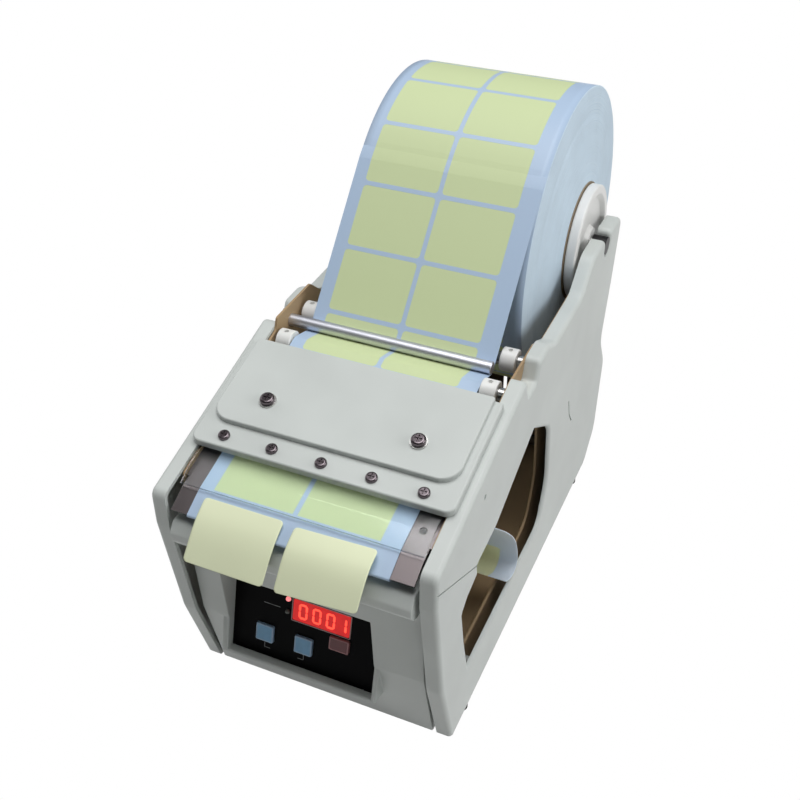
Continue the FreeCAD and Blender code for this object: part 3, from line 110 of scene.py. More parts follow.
TABLE_HALF, TABLE_BELOW = 3000.0, 0.3
table_top = surface("table_top", np.array([(-1, -1, 0), (1, -1, 0), (1, 1, 0), (-1, 1, 0)]) * TABLE_HALF
                    - (0, 0, TABLE_BELOW), [(0, 1, 2, 3)])
table_white, tree, shader = finish("white_table")
rays = node(tree, "ShaderNodeLightPath")
seen = node(tree, "ShaderNodeMath", {0: rays.outputs["Is Camera Ray"], 1: rays.outputs["Is Glossy Ray"]},
            operation="MAXIMUM")
seen = node(tree, "ShaderNodeMath", {0: seen.outputs[0], 1: rays.outputs["Is Transmission Ray"]},
            operation="MAXIMUM")
glow = node(tree, "ShaderNodeEmission", values={"Color": (1, 1, 1, 1), "Strength": 1.0})
shader.inputs["Base Color"].default_value = linear("#C8C8C6")
shader.inputs["Roughness"].default_value = 0.9
mixed = node(tree, "ShaderNodeMixShader", {0: seen.outputs[0], 1: shader.outputs[0], 2: glow.outputs[0]})
tree.links.new(mixed.outputs[0], tree.nodes["Material Output"].inputs["Surface"])
table_top.data.materials.append(table_white)

world = bpy.data.worlds.new("studio")
bpy.context.scene.world = world
world.use_nodes = True
tree = world.node_tree
rays = node(tree, "ShaderNodeLightPath")
seen = node(tree, "ShaderNodeMath", {0: rays.outputs["Is Camera Ray"], 1: rays.outputs["Is Transmission Ray"]},
            operation="MAXIMUM")
room = tree.nodes["Background"]
room.inputs["Color"].default_value = linear("#E8EAEC")
room.inputs["Strength"].default_value = 0.11
backdrop = node(tree, "ShaderNodeBackground", values={"Color": (1, 1, 1, 1), "Strength": 1.0})
mixed = node(tree, "ShaderNodeMixShader", {0: seen.outputs[0], 1: room.outputs[0], 2: backdrop.outputs[0]})
tree.links.new(mixed.outputs[0], tree.nodes["World Output"].inputs["Surface"])


def soft_lamp(name, place, target, size, power):
    """A square area lamp that points at a target."""
    lamp = bpy.data.lights.new(name, "AREA")
    lamp.shape = "SQUARE"
    lamp.size = size
    lamp.energy = power
    item = bpy.data.objects.new(name, lamp)
    away = np.subtract(place, target)
    away = away / np.linalg.norm(away)
    side = np.cross((0, 0, 1), away)
    side = side / np.linalg.norm(side)
    up = np.cross(away, side)
    item.matrix_world = Matrix([[side[i], up[i], away[i], place[i]] for i in range(3)] + [[0, 0, 0, 1]])
    bpy.context.scene.collection.objects.link(item)


LIT_MIDDLE = (0, 0, 0.15)
soft_lamp("top_lamp", (0.1, -0.05, 1.7), LIT_MIDDLE, 1.2, 20.5)
soft_lamp("right_lamp", (1.5, 0.08, 0.8), LIT_MIDDLE, 1.0, 11)
soft_lamp("left_lamp", (-1.4, 0.2, 1.0), LIT_MIDDLE, 1.0, 5)

# Moulded plastic of the walls, the front housing and the cover: light grey ABS from a spark-eroded mould,
# which gives it a fine even grain and a soft sheen.


def paint(material, *names):
    """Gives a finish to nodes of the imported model."""
    for name in names:
        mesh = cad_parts[name].data
        mesh.materials.clear()
        mesh.materials.append(material)


def moulded(name, colour, grain=0.35, roughness=0.45, bump=0.02, spread=0.05, gloss=0.5):
    """Moulded plastic: a fine grain in relief, grain in mm, and a faint drift of the colour over centimetres."""
    material, tree, shader = finish(name)
    place = node(tree, "ShaderNodeTexCoord")
    fine = node(tree, "ShaderNodeTexNoise", {"Vector": place.outputs["Object"]},
                {"Scale": 1 / (grain * MM), "Detail": 3.0, "Roughness": 0.6})
    drift = node(tree, "ShaderNodeTexNoise", {"Vector": place.outputs["Object"]}, {"Scale": 18.0, "Detail": 2.0})
    tint = node(tree, "ShaderNodeMapRange", {"Value": drift.outputs["Fac"]},
                {"From Min": 0.3, "From Max": 0.7, "To Min": 1 - spread, "To Max": 1 + spread})
    shade = node(tree, "ShaderNodeVectorMath", {1: tint.outputs[0]}, {0: linear(colour)[:3]}, operation="MULTIPLY")
    relief = node(tree, "ShaderNodeBump", {"Height": fine.outputs["Fac"]}, {"Strength": 0.35, "Distance": bump * MM})
    tree.links.new(shade.outputs[0], shader.inputs["Base Color"])
    tree.links.new(relief.outputs[0], shader.inputs["Normal"])
    shader.inputs["Roughness"].default_value = roughness
    shader.inputs["Specular IOR Level"].default_value = gloss
    return material


abs_grey = moulded("moulded_abs_grey", "#C6CBC8")
paint(abs_grey, "side_wall_left", "side_wall_right", "top_cover", "raised_plate", "front_housing")

# Steel: chassis plates and floor pan coated brown, a dark passivated rear plate, a stainless peel plate brushed
# along the web's way, turned shafts, screws and bushes, and a ground tension rod.


def metal(name, colour, roughness, line=0.25, along="x", depth=0.006, stretch=60.0):
    """Worked steel: fine lines along one axis, line in mm wide, with a roughness that varies between them."""
    material, tree, shader = finish(name)
    place = node(tree, "ShaderNodeTexCoord")
    scale = [1 / (line * MM)] * 3
    scale["xyz".index(along)] /= stretch
    aim = node(tree, "ShaderNodeMapping", {"Vector": place.outputs["Object"]}, {"Scale": scale})
    lines = node(tree, "ShaderNodeTexNoise", {"Vector": aim.outputs[0]}, {"Scale": 1.0, "Detail": 4.0})
    rough = node(tree, "ShaderNodeMapRange", {"Value": lines.outputs["Fac"]},
                 {"To Min": roughness - 0.08, "To Max": roughness + 0.12})
    relief = node(tree, "ShaderNodeBump", {"Height": lines.outputs["Fac"]}, {"Strength": 0.5, "Distance": depth * MM})
    tree.links.new(rough.outputs[0], shader.inputs["Roughness"])
    tree.links.new(relief.outputs[0], shader.inputs["Normal"])
    shader.inputs["Base Color"].default_value = linear(colour)
    shader.inputs["Metallic"].default_value = 1.0
    return material


paint(moulded("brown_powder_coat", "#A58C6C", 0.7, 0.55, 0.03, 0.08, 0.3), "chassis_plate_left",
      "chassis_plate_right", "base_plate")
paint(metal("dark_passivated_sheet", "#6A645C", 0.5, 0.5, "z"), "rear_plate", "cover_bridge", "tie_bars")
paint(metal("brushed_stainless", "#716A6B", 0.34, 0.3, "y"), "peel_plate")
paint(metal("turned_steel", "#B9B9B8", 0.25, 0.2, "z", stretch=1.0), "guide_shaft_front", "guide_shaft_rear",
      "reel_axle", "drive_spindle", "idler_stud", "motor_shaft", "rod_nut", "wall_screws")
paint(metal("screw_steel", "#6C6468", 0.25, 0.2, "z", stretch=1.0), "cover_strip_screws",
      "cover_cap_screws")
paint(metal("washer_steel", "#D2D2CF", 0.28, 0.2, "z", stretch=1.0), "cover_washers")
paint(metal("ground_grey_rod", "#D2D4DC", 0.42, 0.25, "x", stretch=0.05), "tension_rod")
paint(metal("bush_bronze", "#B08D57", 0.35, 0.2, "x", stretch=1.0), "roller_bushes", "motor_pinion",
      "board_posts")
paint(metal("motor_can_steel", "#6C6D70", 0.4, 0.3, "x"), "drive_motor")

# White and black small mouldings: acetal collars, hub flanges and gears, black axle ends, switch and jack.
acetal = moulded("white_acetal", "#E4E4E2", 0.5, 0.35, 0.01, 0.02)
paint(acetal, "collar_front_left", "collar_front_right", "collar_rear_left", "collar_rear_right",
      "hub_flange_left", "hub_flange_right", "drive_gear", "idler_gear")
black_nylon = moulded("black_nylon", "#101012", 0.4, 0.4, 0.02, 0.1, 0.25)
paint(black_nylon, "axle_end_left", "axle_end_right", "power_switch", "power_rocker", "supply_jack",
      "label_sensor", "display_module")
rubber = moulded("nitrile_rubber", "#232323", 0.25, 0.75, 0.03, 0.12)
paint(rubber, "drive_roller", "pinch_roller", "rubber_feet")
card = moulded("grey_card", "#8A7B66", 0.8, 0.85, 0.05, 0.1)
paint(card, "roll_core")
paint(moulded("board_lacquer", "#1E5B36", 1.2, 0.35, 0.01, 0.15), "circuit_board")

# Clear guide sheet: polycarbonate, cut and folded, with a faint haze from the paper. Its cut front edge
# is painted greyer than its face, a painted shade for the light that the edge gathers from the inside.
CUT_EDGE_END = 8.8
clear, tree, shader = finish("clear_polycarbonate")
place = node(tree, "ShaderNodeTexCoord")
slope = node(tree, "ShaderNodeMapping", {"Vector": place.outputs["Object"]},
             {"Location": (0, (TOPS_START[0] + BACK_SHIFT) * MM, (TOPS_START[1] + FOOT) * MM),
              "Rotation": (TOPS_SLOPE, 0, 0)}, vector_type="TEXTURE")
along = node(tree, "ShaderNodeSeparateXYZ", {0: slope.outputs[0]})
# Painted shade: the band along the front edge is given a greyer colour than the clear face.
cut_edge_painted_shade = node(tree, "ShaderNodeMath", {0: along.outputs["Y"]}, {1: CUT_EDGE_END * MM}, operation="LESS_THAN")
tint = node(tree, "ShaderNodeMix", {"Factor": cut_edge_painted_shade.outputs[0]}, {"A": linear("#F2F6F6"), "B": linear("#8C96A2")},
            data_type="RGBA")
tree.links.new(tint.outputs["Result"], shader.inputs["Base Color"])
haze = node(tree, "ShaderNodeTexNoise", {"Vector": place.outputs["Object"]}, {"Scale": 400.0, "Detail": 4.0})
rough = node(tree, "ShaderNodeMapRange", {"Value": haze.outputs["Fac"]}, {"To Min": 0.02, "To Max": 0.12})
tree.links.new(rough.outputs[0], shader.inputs["Roughness"])
shader.inputs["Transmission Weight"].default_value = 1.0
shader.inputs["IOR"].default_value = 1.3
paint(clear, "clear_guide_sheet")

# Paper web: the liner with two columns of labels, off the roll, under the tension rod, over the front
# shaft, down the peel plate and round its edge, then back under the plate to the rollers.
PITCH = 43.0
LABEL_TALL = 40.0
LABEL_WIDE = 50.0
CORNER = 2.4
WEB_MIDDLE = -3.5
COLUMN_REACH = 26.5


def printed_paper(name, first_row, last_row, liner="#AEC3DC", face="#C9D6A6", sheer=0.0):
    """Paper that carries labels. UV is the flat sheet in millimetres: U across, V along. The steps fold it
    onto the middle of one label and take its core away, and a point lies on a label where what is left is
    shorter than the corner radius. Rows outside first_row to last_row of V are bare; sheer paper lets light in."""
    material, tree, shader = finish(name)
    sheet_uv = node(tree, "ShaderNodeUVMap", uv_map="flat")
    folded = sheet_uv.outputs[0]
    for operation, second, third in (
            ("WRAP", (1000, PITCH / 2, 1), (-1000, -PITCH / 2, -1)), ("SUBTRACT", (WEB_MIDDLE, 0, 0), (0, 0, 0)),
            ("ABSOLUTE", (0, 0, 0), (0, 0, 0)), ("SUBTRACT", (COLUMN_REACH, 0, 0), (0, 0, 0)),
            ("ABSOLUTE", (0, 0, 0), (0, 0, 0)),
            ("SUBTRACT", (LABEL_WIDE / 2 - CORNER, LABEL_TALL / 2 - CORNER, 0), (0, 0, 0)),
            ("MAXIMUM", (0, 0, 0), (0, 0, 0))):
        folded = node(tree, "ShaderNodeVectorMath", {0: folded}, {1: second, 2: third},
                      operation=operation).outputs["Vector"]
    reach = node(tree, "ShaderNodeVectorMath", {0: folded}, operation="LENGTH")
    inside = node(tree, "ShaderNodeMath", {0: reach.outputs["Value"]}, {1: CORNER}, operation="LESS_THAN")
    along = node(tree, "ShaderNodeSeparateXYZ", {0: sheet_uv.outputs[0]})
    from_row = node(tree, "ShaderNodeMath", {0: along.outputs["Y"]}, {1: first_row}, operation="GREATER_THAN")
    to_row = node(tree, "ShaderNodeMath", {0: along.outputs["Y"]}, {1: last_row}, operation="LESS_THAN")
    rows = node(tree, "ShaderNodeMath", {0: from_row.outputs[0], 1: to_row.outputs[0]}, operation="MULTIPLY")
    label = node(tree, "ShaderNodeMath", {0: inside.outputs[0], 1: rows.outputs[0]}, operation="MULTIPLY")
    colour = node(tree, "ShaderNodeMix", {"Factor": label.outputs[0]},
                  {"A": linear(liner), "B": linear(face)}, data_type="RGBA")
    place = node(tree, "ShaderNodeTexCoord")
    fibre = node(tree, "ShaderNodeTexNoise", {"Vector": place.outputs["Object"]}, {"Scale": 900.0, "Detail": 4.0})
    height = node(tree, "ShaderNodeMath", {0: fibre.outputs["Fac"], 2: label.outputs[0]}, {1: 0.12},
                  operation="MULTIPLY_ADD")
    relief = node(tree, "ShaderNodeBump", {"Height": height.outputs[0]}, {"Strength": 0.6, "Distance": 0.12 * MM})
    sheen = node(tree, "ShaderNodeMapRange", {"Value": label.outputs[0]}, {"To Min": 0.42, "To Max": 0.6})
    tree.links.new(colour.outputs["Result"], shader.inputs["Base Color"])
    tree.links.new(relief.outputs[0], shader.inputs["Normal"])
    tree.links.new(sheen.outputs[0], shader.inputs["Roughness"])
    shader.inputs["Subsurface Weight"].default_value = sheer
    shader.inputs["Subsurface Radius"].default_value = (1.0, 1.0, 1.0)
    shader.inputs["Subsurface Scale"].default_value = 3 * MM
    return material


REEL = np.array([315.0, 199.0])
ROLL_RADIUS = 104.0
WEB_LEFT, WEB_RIGHT = -63.5, 60.5
WEB_THICK, WEB_GAP = 0.5, 0.15


def slope_point(along, up):
    """A point given along and above the line of the wall tops."""
    return np.array([TOPS_START[0] + along * math.cos(TOPS_SLOPE) - up * math.sin(TOPS_SLOPE),
                     TOPS_START[1] + along * math.sin(TOPS_SLOPE) + up * math.cos(TOPS_SLOPE)])


def tight_path(wheels, end, step=1.2):
    """Middle line of a tight belt round (y, z, radius) wheels, radius negative for a wheel on its right:
    each run is the common tangent of two wheels, and each wheel is an arc between its two tangents."""
    stops = [np.array(w, float) for w in wheels] + [np.array([*end, 0.0])]
    feet = []
    for a, b in zip(stops, stops[1:]):
        span = b[:2] - a[:2]
        swing = math.asin((a[2] - b[2]) / np.hypot(*span))
        heading = math.atan2(span[1], span[0]) + swing
        left = np.array([-math.sin(heading), math.cos(heading)])
        feet.append((a[:2] - left * a[2], b[:2] - left * b[2], heading))
    points = []
    for (start, stop, heading), after, wheel in zip(feet, feet[1:] + [None], stops[1:]):
        count = max(int(np.hypot(*(stop - start)) / step), 2)
        points.append(start + (stop - start) * np.linspace(0, 1, count)[:, None])
        if after is not None:
            turn = (after[2] - heading + math.pi) % (2 * math.pi) - math.pi
            angles = heading + turn * np.linspace(0, 1, max(int(abs(turn) / 0.12), 3))[1:-1]
            points.append(wheel[:2] - np.stack([-np.sin(angles), np.cos(angles)], -1) * wheel[2])
    return np.concatenate(points)


def strip(name, path, left, right, thick, material, uv_start=0.0, across=24, slide=None, ease=None):
    """A closed strip of paper: the middle line is moved half the thickness to each side along its normal,
    and the ring of both sides is carried across the width. The UV's length may be eased along the way."""
    ahead = np.gradient(path, axis=0)
    ahead /= np.linalg.norm(ahead, axis=1)[:, None]
    normal = np.stack([-ahead[:, 1], ahead[:, 0]], -1)
    length = np.concatenate([[0], np.cumsum(np.linalg.norm(np.diff(path, axis=0), axis=1))]) + uv_start
    if ease is not None:
        length = length + np.interp(length, *ease)
    ring = np.concatenate([path + normal * thick / 2, (path - normal * thick / 2)[::-1]])
    run = np.concatenate([length, length[::-1]])
    shift = np.zeros(len(ring)) if slide is None else slide(ring[:, 1])
    x = np.linspace(left, right, across)
    points = np.empty((len(ring), across, 3))
    points[..., 0] = x[None, :] + shift[:, None]
    points[..., 1] = ring[:, :1] + BACK_SHIFT
    points[..., 2] = ring[:, 1:] + FOOT
    uv = np.stack(np.broadcast_arrays(x[None, :], run[:, None]), -1)
    rows = len(ring)
    faces = grid_faces(rows, across, close_rows=True)
    middle = rows // 2
    i = np.arange(middle - 1)
    caps = []
    for column, order in ((0, 1), (across - 1, -1)):
        quad = np.stack([i, i + 1, rows - 2 - i, rows - 1 - i], -1) * across + column
        caps.append(quad[:, ::order])
    faces = np.concatenate([faces[:, ::-1]] + caps)
    item = surface(name, points.reshape(-1, 3), faces, uv.reshape(-1, 2), smooth=False)
    item.data.materials.append(material)
    return item


def smooth_path(corners, count):
    """A quadratic B-spline through the middles of the runs between corners, from the first to the last."""
    corners = np.asarray(corners, float)
    middles = (corners[1:] + corners[:-1]) / 2
    bends = corners[1:-1]
    starts, ends = np.concatenate([corners[:1], middles[1:-1]]), np.concatenate([middles[1:-1], corners[-1:]])
    k = np.linspace(0, 1, max(count // len(bends), 3), endpoint=False)[:, None]
    arcs = [a * (1 - k) ** 2 + b * 2 * k * (1 - k) + c * k ** 2 for a, b, c in zip(starts, bends, ends)]
    return np.concatenate(arcs + [corners[-1:]])


TAIL_RIGHT, TAIL_TOP, TAIL_KNEE = 87.2, 136.5, 100.0


def tail_slide(height):
    """How far the tail has wandered to the right, by height: evenly down to the knee, then no more."""
    return (TAIL_RIGHT - WEB_RIGHT) * np.clip((TAIL_TOP - height) / (TAIL_TOP - TAIL_KNEE), 0, 1)


def peeled_label(name, left, left_edge, right_edge, rows=40, columns=50, thick=0.3):
    """A label between two side curves. Its corners are rounded by drawing each row in: a row that lies d from
    the end, within the corner radius r, is shorter by r - sqrt(r^2 - (r - d)^2) at both sides."""
    edges = [smooth_path(edge, rows) for edge in (left_edge, right_edge)]
    run = np.concatenate([[0], np.cumsum(np.linalg.norm(np.diff(edges[0], axis=0), axis=1))])
    fine = np.concatenate([np.linspace(0, CORNER, 9), np.linspace(CORNER, run[-1] - CORNER, rows)[1:-1],
                           run[-1] - np.linspace(CORNER, 0, 9)])
    sides = [np.stack([np.interp(fine, run, edge[:, axis]) for axis in (0, 1)], -1) for edge in edges]
    near = np.minimum(np.minimum(fine, run[-1] - fine), CORNER)
    inset = CORNER - np.sqrt(CORNER ** 2 - (CORNER - near) ** 2)
    share = np.linspace(0, 1, columns)[None, :]
    x = left + inset[:, None] + (LABEL_WIDE - 2 * inset[:, None]) * share
    part = ((x - left) / LABEL_WIDE)[..., None]
    middle = sides[0][:, None] * (1 - part) + sides[1][:, None] * part
    points = np.concatenate([x[..., None], middle + (BACK_SHIFT, FOOT)], -1)
    item = surface(name, points.reshape(-1, 3), grid_faces(len(fine), columns))
    wall = item.modifiers.new("paper_thickness", "SOLIDIFY")
    wall.thickness = thick * MM
    wall.offset = 0.0
    return item


half_web = WEB_THICK / 2 + WEB_GAP
TENSION_ROD, FRONT_SHAFT, SHAFT_RADIUS = (158.0, 191.8), (140.0, 188.2), 4.0
PLATE_BEND, BEND_RADIUS = slope_point(8.0, -6.2 - 2.4), 3.0
PEEL_EDGE, EDGE_RADIUS = slope_point(-6.2, -6.2 - 3.0), 0.6
DRIVE_ROLLER, WRAP_RADIUS = (62.0, 136.8), 13.6
LINER_TURN = (100.0, 122.0)
wheels = [(*REEL, ROLL_RADIUS + half_web), (*TENSION_ROD, -SHAFT_RADIUS - half_web),
          (*FRONT_SHAFT, SHAFT_RADIUS + half_web), (*PLATE_BEND, BEND_RADIUS + half_web),
          (*PEEL_EDGE, EDGE_RADIUS + half_web), (*DRIVE_ROLLER, -WRAP_RADIUS)]
whole = tight_path(wheels, LINER_TURN)
from_roller = np.hypot(*(whole - np.array(DRIVE_ROLLER)).T)
stop = len(whole) - np.argmax((from_roller < WRAP_RADIUS + 0.05)[::-1])
# The web starts a little before it leaves the roll, sunk below the outer turn, so that no ledge shows there.
SUNK_DEEP, SUNK_ANGLE = 0.95, 0.12
leave = math.atan2(whole[0][1] - REEL[1], whole[0][0] - REEL[0])
sunk = np.linspace(1.0, 0.06, 16)[:, None]
lap = leave - SUNK_ANGLE * sunk
web_path = np.concatenate([REEL + (ROLL_RADIUS + half_web - SUNK_DEEP * sunk) * np.hstack([np.cos(lap), np.sin(lap)]),
                           whole[:stop]])
run = np.concatenate([[0], np.cumsum(np.linalg.norm(np.diff(web_path, axis=0), axis=1))])
nose_run = run[np.argmin(web_path[:, 0])]
# Where the labels' rows fall: V at the peel edge, the roll's lag behind the web, made up under the cover
# between two distances from the peel edge, and the end of the last row before the two peeled labels.
NOSE_PHASE, ROLL_LAG, LAG_ENDS, LAST_ROW = 31.5, 9.5, (118, 42), 12.5
web_paper = printed_paper("web_paper", -1000.0, LAST_ROW)
web = strip("web_strip", web_path, WEB_LEFT, WEB_RIGHT, WEB_THICK, web_paper, uv_start=NOSE_PHASE - nose_run,
            ease=([NOSE_PHASE - away for away in LAG_ENDS], (-ROLL_LAG, 0)))
first_turn = NOSE_PHASE - nose_run - ROLL_LAG
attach(web, "frame")
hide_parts("label_web")

# Label roll: many turns of the same paper, pushed 6.5 mm to the right towards the core. The outer turn shows
# its labels, and the sides show the edges of the turns as fine rings.
roll_turns, tree, shader = finish("wound_paper_edges")
place = node(tree, "ShaderNodeTexCoord")
aim = node(tree, "ShaderNodeMapping", {"Vector": place.outputs["Object"]},
           {"Location": (0, -(REEL[0] + BACK_SHIFT) * MM, -(REEL[1] + FOOT) * MM), "Scale": (0, 1, 1)})
reach = node(tree, "ShaderNodeVectorMath", {0: aim.outputs[0]}, operation="LENGTH")
rings = node(tree, "ShaderNodeTexNoise", {"W": reach.outputs["Value"]}, {"Scale": 1500.0, "Detail": 6.0},
             noise_dimensions="1D")
patches = node(tree, "ShaderNodeTexNoise", {"Vector": place.outputs["Object"]}, {"Scale": 45.0, "Detail": 3.0})
edge = node(tree, "ShaderNodeMix", {"Factor": rings.outputs["Fac"]}, {"A": linear("#BCD5E9"), "B": linear("#E0EEF8")},
            data_type="RGBA")
shadow = node(tree, "ShaderNodeMapRange", {"Value": patches.outputs["Fac"]}, {"To Min": 0.9, "To Max": 1.08})
tone = node(tree, "ShaderNodeVectorMath", {0: edge.outputs["Result"], 1: shadow.outputs[0]}, operation="MULTIPLY")
relief = node(tree, "ShaderNodeBump", {"Height": rings.outputs["Fac"]}, {"Strength": 0.6, "Distance": 0.4 * MM})
tree.links.new(tone.outputs[0], shader.inputs["Base Color"])
tree.links.new(relief.outputs[0], shader.inputs["Normal"])
shader.inputs["Roughness"].default_value = 0.7

CORE_TOP = 41.05
LEAN = 6.5
SIDE_STEPS, OUTER_STEPS = 60, 24


def wound_roll(start, rows=161):
    """Round the axle, the profile goes from the core out along the left side, across the outer turn and back
    in along the right side; each side wanders a little from turn to turn. The last row lies on the first."""
    rng = np.random.default_rng(7)
    out = np.linspace(0, 1, SIDE_STEPS)
    radius = CORE_TOP + out * (ROLL_RADIUS - CORE_TOP)
    wander = np.convolve(rng.normal(0, 0.35, 64), np.ones(5) / 5, "valid")
    wander *= np.clip(np.minimum(out, 1 - out) * 8, 0, 1)
    left = WEB_LEFT + LEAN * (1 - out) + np.abs(wander)
    right = WEB_RIGHT + LEAN * (1 - out) - np.abs(wander[::-1]) + 0.3 * out
    across = np.linspace(WEB_LEFT, WEB_RIGHT, OUTER_STEPS + 2)[1:-1]
    x = np.concatenate([left, across, right[::-1]])
    r = np.concatenate([radius, np.full(len(across), ROLL_RADIUS), radius[::-1]])
    angle = start + np.linspace(-2 * math.pi, 0, rows)
    points = np.empty((rows, len(x), 3))
    points[..., 0] = x[None, :]
    points[..., 1] = REEL[0] + BACK_SHIFT + r[None, :] * np.cos(angle)[:, None]
    points[..., 2] = REEL[1] + FOOT + r[None, :] * np.sin(angle)[:, None]
    return points, x, angle


seam_angle = math.atan2(web_path[0][1] - REEL[1], web_path[0][0] - REEL[0])
points, x, angle = wound_roll(seam_angle)
uv = np.stack(np.broadcast_arrays(x[None, :], (angle - seam_angle)[:, None] * ROLL_RADIUS + first_turn), -1)
faces = grid_faces(len(angle), len(x))
roll = surface("roll_of_labels", points.reshape(-1, 3), faces, uv.reshape(-1, 2))
roll.data.materials.append(roll_turns)
roll.data.materials.append(printed_paper("roll_paper", -2000.0, 2000.0))
column = np.tile(np.arange(len(x) - 1), len(angle) - 1)
on_outer_turn = (column >= SIDE_STEPS - 1) & (column < SIDE_STEPS + OUTER_STEPS)
roll.data.polygons.foreach_set("material_index", on_outer_turn.astype(int))
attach(roll, "reel")
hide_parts("label_roll")

# Liner tail: the spent liner falls behind the rollers, wanders to the right and curls out of the window. One
# label that wasn't taken still sticks to it near the cut end. Its paper lets some light through, and its liner
# and label are also painted lighter than the same paper on the web, a painted light for what reaches it
# through the window.
TAIL_START_V = -46.0
tail_path = smooth_path([(76.5, TAIL_TOP), LINER_TURN, (121.0, 99.0), (140.0, 77.0), (148.6, 59.5), (151.0, 46.0),
                         (146.0, 40.9), (137.0, 41.6), (127.6, 48.6)], 90)
tail = strip("tail_strip", tail_path, WEB_LEFT, WEB_RIGHT, WEB_THICK,
             printed_paper("tail_paper_painted_light", PITCH * 1.5, PITCH * 2.5, "#DCEBFF", "#F3F5BC", 0.5),
             uv_start=TAIL_START_V, slide=tail_slide)
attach(tail, "frame")
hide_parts("liner_tail")

# Peeled labels: two labels that stick out over the peel edge by their own stiffness and droop, each with
# rounded corners. The right one has sprung up a little on its right side. Their face is painted lighter than
# the same labels on the web, a painted light for the light that falls on them.
PEELED = {
    "peeled_left": (-56.6, [(17.6, 163.2), (10.5, 159.8), (3.5, 155.0), (-4.0, 148.0), (-11.3, 140.0)],
                    [(17.6, 163.2), (10.5, 159.8), (3.5, 155.0), (-4.0, 148.0), (-11.3, 139.7)],
                    "peeled_label_left"),
    "peeled_right": (0.5, [(16.6, 162.8), (9.0, 159.7), (2.0, 155.2), (-5.0, 147.8), (-11.8, 139.6)],
                     [(16.4, 165.0), (8.0, 162.8), (1.0, 158.6), (-6.0, 151.8), (-12.2, 144.6)],
                     "peeled_label_right"),
}
label_face_painted_light = moulded("label_face_painted_light", "#E6ECC8", 0.6, 0.6, 0.03, 0.03)
for name, (left, left_edge, right_edge, stands_for) in PEELED.items():
    piece = peeled_label(name, left, left_edge, right_edge)
    piece.data.materials.append(label_face_painted_light)
    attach(piece, "frame")
    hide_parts(stands_for)

# Front housing: one moulding with a lip under the peel edge and a deep sloping recess for the panel, whose
# lower rim stands proud of the chin. Its edges are rounded as in the mould.


def rounded(corners, fine=6):
    """A closed outline of (u, v, radius) corners with each corner turned into an arc."""
    spots = np.array([corner[:2] for corner in corners], float)
    drawn = []
    for before, here, after, (_, _, radius) in zip(np.roll(spots, 1, 0), spots, np.roll(spots, -1, 0), corners):
        one, two = before - here, after - here
        one, two = one / np.linalg.norm(one), two / np.linalg.norm(two)
        half = math.acos(np.clip(one @ two, -1, 1)) / 2
        centre = here + (one + two) / np.linalg.norm(one + two) * radius / math.sin(half)
        first, last = here + one * radius / math.tan(half), here + two * radius / math.tan(half)
        if radius == 0:
            drawn.append(here[None])
            continue
        k = np.linspace(0, 1, fine)[:, None]
        chord = first * (1 - k) + last * k - centre
        drawn.append(centre + chord / np.linalg.norm(chord, axis=1)[:, None] * radius)
    return np.concatenate(drawn)


def prism(name, outline, left, right):
    """A closed block with one side outline, drawn between two X positions."""
    outline = np.asarray(outline, float) + (BACK_SHIFT, FOOT)
    count = len(outline)
    points = np.concatenate([np.column_stack([np.full(count, x), outline]) for x in (left, right)])
    i = np.arange(count)
    sides = np.stack([i, (i + 1) % count, (i + 1) % count + count, i + count], -1)
    faces = list(sides) + [i[::-1], i + count]
    turn = np.cross(outline, np.roll(outline, -1, 0)).sum()
    if turn < 0:
        faces = [face[::-1] for face in faces]
    return surface(name, points, faces, smooth=False)


LEAN_BACK = math.radians(16.6)
PANEL_FOOT = (24.0, 44.0)


def on_panel(up, out=0.0):
    """Y and Z of a point given up along the leaning panel and out of its face."""
    return np.array([PANEL_FOOT[0] + up * math.sin(LEAN_BACK) - out * math.cos(LEAN_BACK),
                     PANEL_FOOT[1] + up * math.cos(LEAN_BACK) + out * math.sin(LEAN_BACK)])


NOSE_OUTLINE = [(48, 147.5, 0), (8, 147.5, 5), (3.5, 141, 4), (3.5, 135.5, 4), (8, 129, 3), (18, 127, 3),
                (21.5, 62, 12), (34.5, 0, 3), (48, 0, 0)]
PANEL_SIDES = (-56.6, 42.0)
PANEL_ENDS = (-9.0, 47.0)
PROUD = 6.0
FLOOR = -2.0
CEILING = math.radians(33.4)
HOUSING_HALF, SKIN = 74.7, 3.0
housing = prism("housing_moulding", rounded(NOSE_OUTLINE), -HOUSING_HALF, HOUSING_HALF)
shelf = prism("housing_shelf", [on_panel(-11.5, PROUD), on_panel(-11.5, -16), on_panel(30, -16),
                                on_panel(30, PROUD - 12), on_panel(18, PROUD)], -61.0, 45.0)
upper_edge = on_panel(PANEL_ENDS[1], FLOOR)
ceiling = upper_edge + np.array([-1, math.tan(CEILING)]) * (upper_edge[0] + 12)
recess = prism("housing_recess", [on_panel(PANEL_ENDS[0], FLOOR), upper_edge, ceiling, (-12, 40),
                                  on_panel(PANEL_ENDS[0], 14.0)], *PANEL_SIDES)
hollow = prism("housing_hollow", [(51, 144.5), (21, 144.5), (21, 133), (49.5, 100), (49.5, 3), (51, 3)],
               SKIN - HOUSING_HALF, HOUSING_HALF - SKIN)
for tool, operation in ((shelf, "UNION"), (recess, "DIFFERENCE"), (hollow, "DIFFERENCE")):
    cut = housing.modifiers.new(tool.name, "BOOLEAN")
    cut.object = tool
    cut.operation = operation
    cut.solver = "EXACT"
edge_round = housing.modifiers.new("edge_rounding", "BEVEL")
edge_round.width = 0.9 * MM
edge_round.segments = 3
edge_round.limit_method = "ANGLE"
edge_round.angle_limit = math.radians(35)
whole = bpy.data.meshes.new_from_object(housing.evaluated_get(bpy.context.evaluated_depsgraph_get()))
housing.modifiers.clear()
housing.data = whole
for tool in (shelf, recess, hollow):
    bpy.data.objects.remove(tool)
whole.polygons.foreach_set("use_smooth", [True] * len(whole.polygons))
whole.set_sharp_from_angle(angle=math.radians(28))
whole.materials.clear()
whole.materials.append(abs_grey)
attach(housing, "frame")
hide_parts("front_housing")

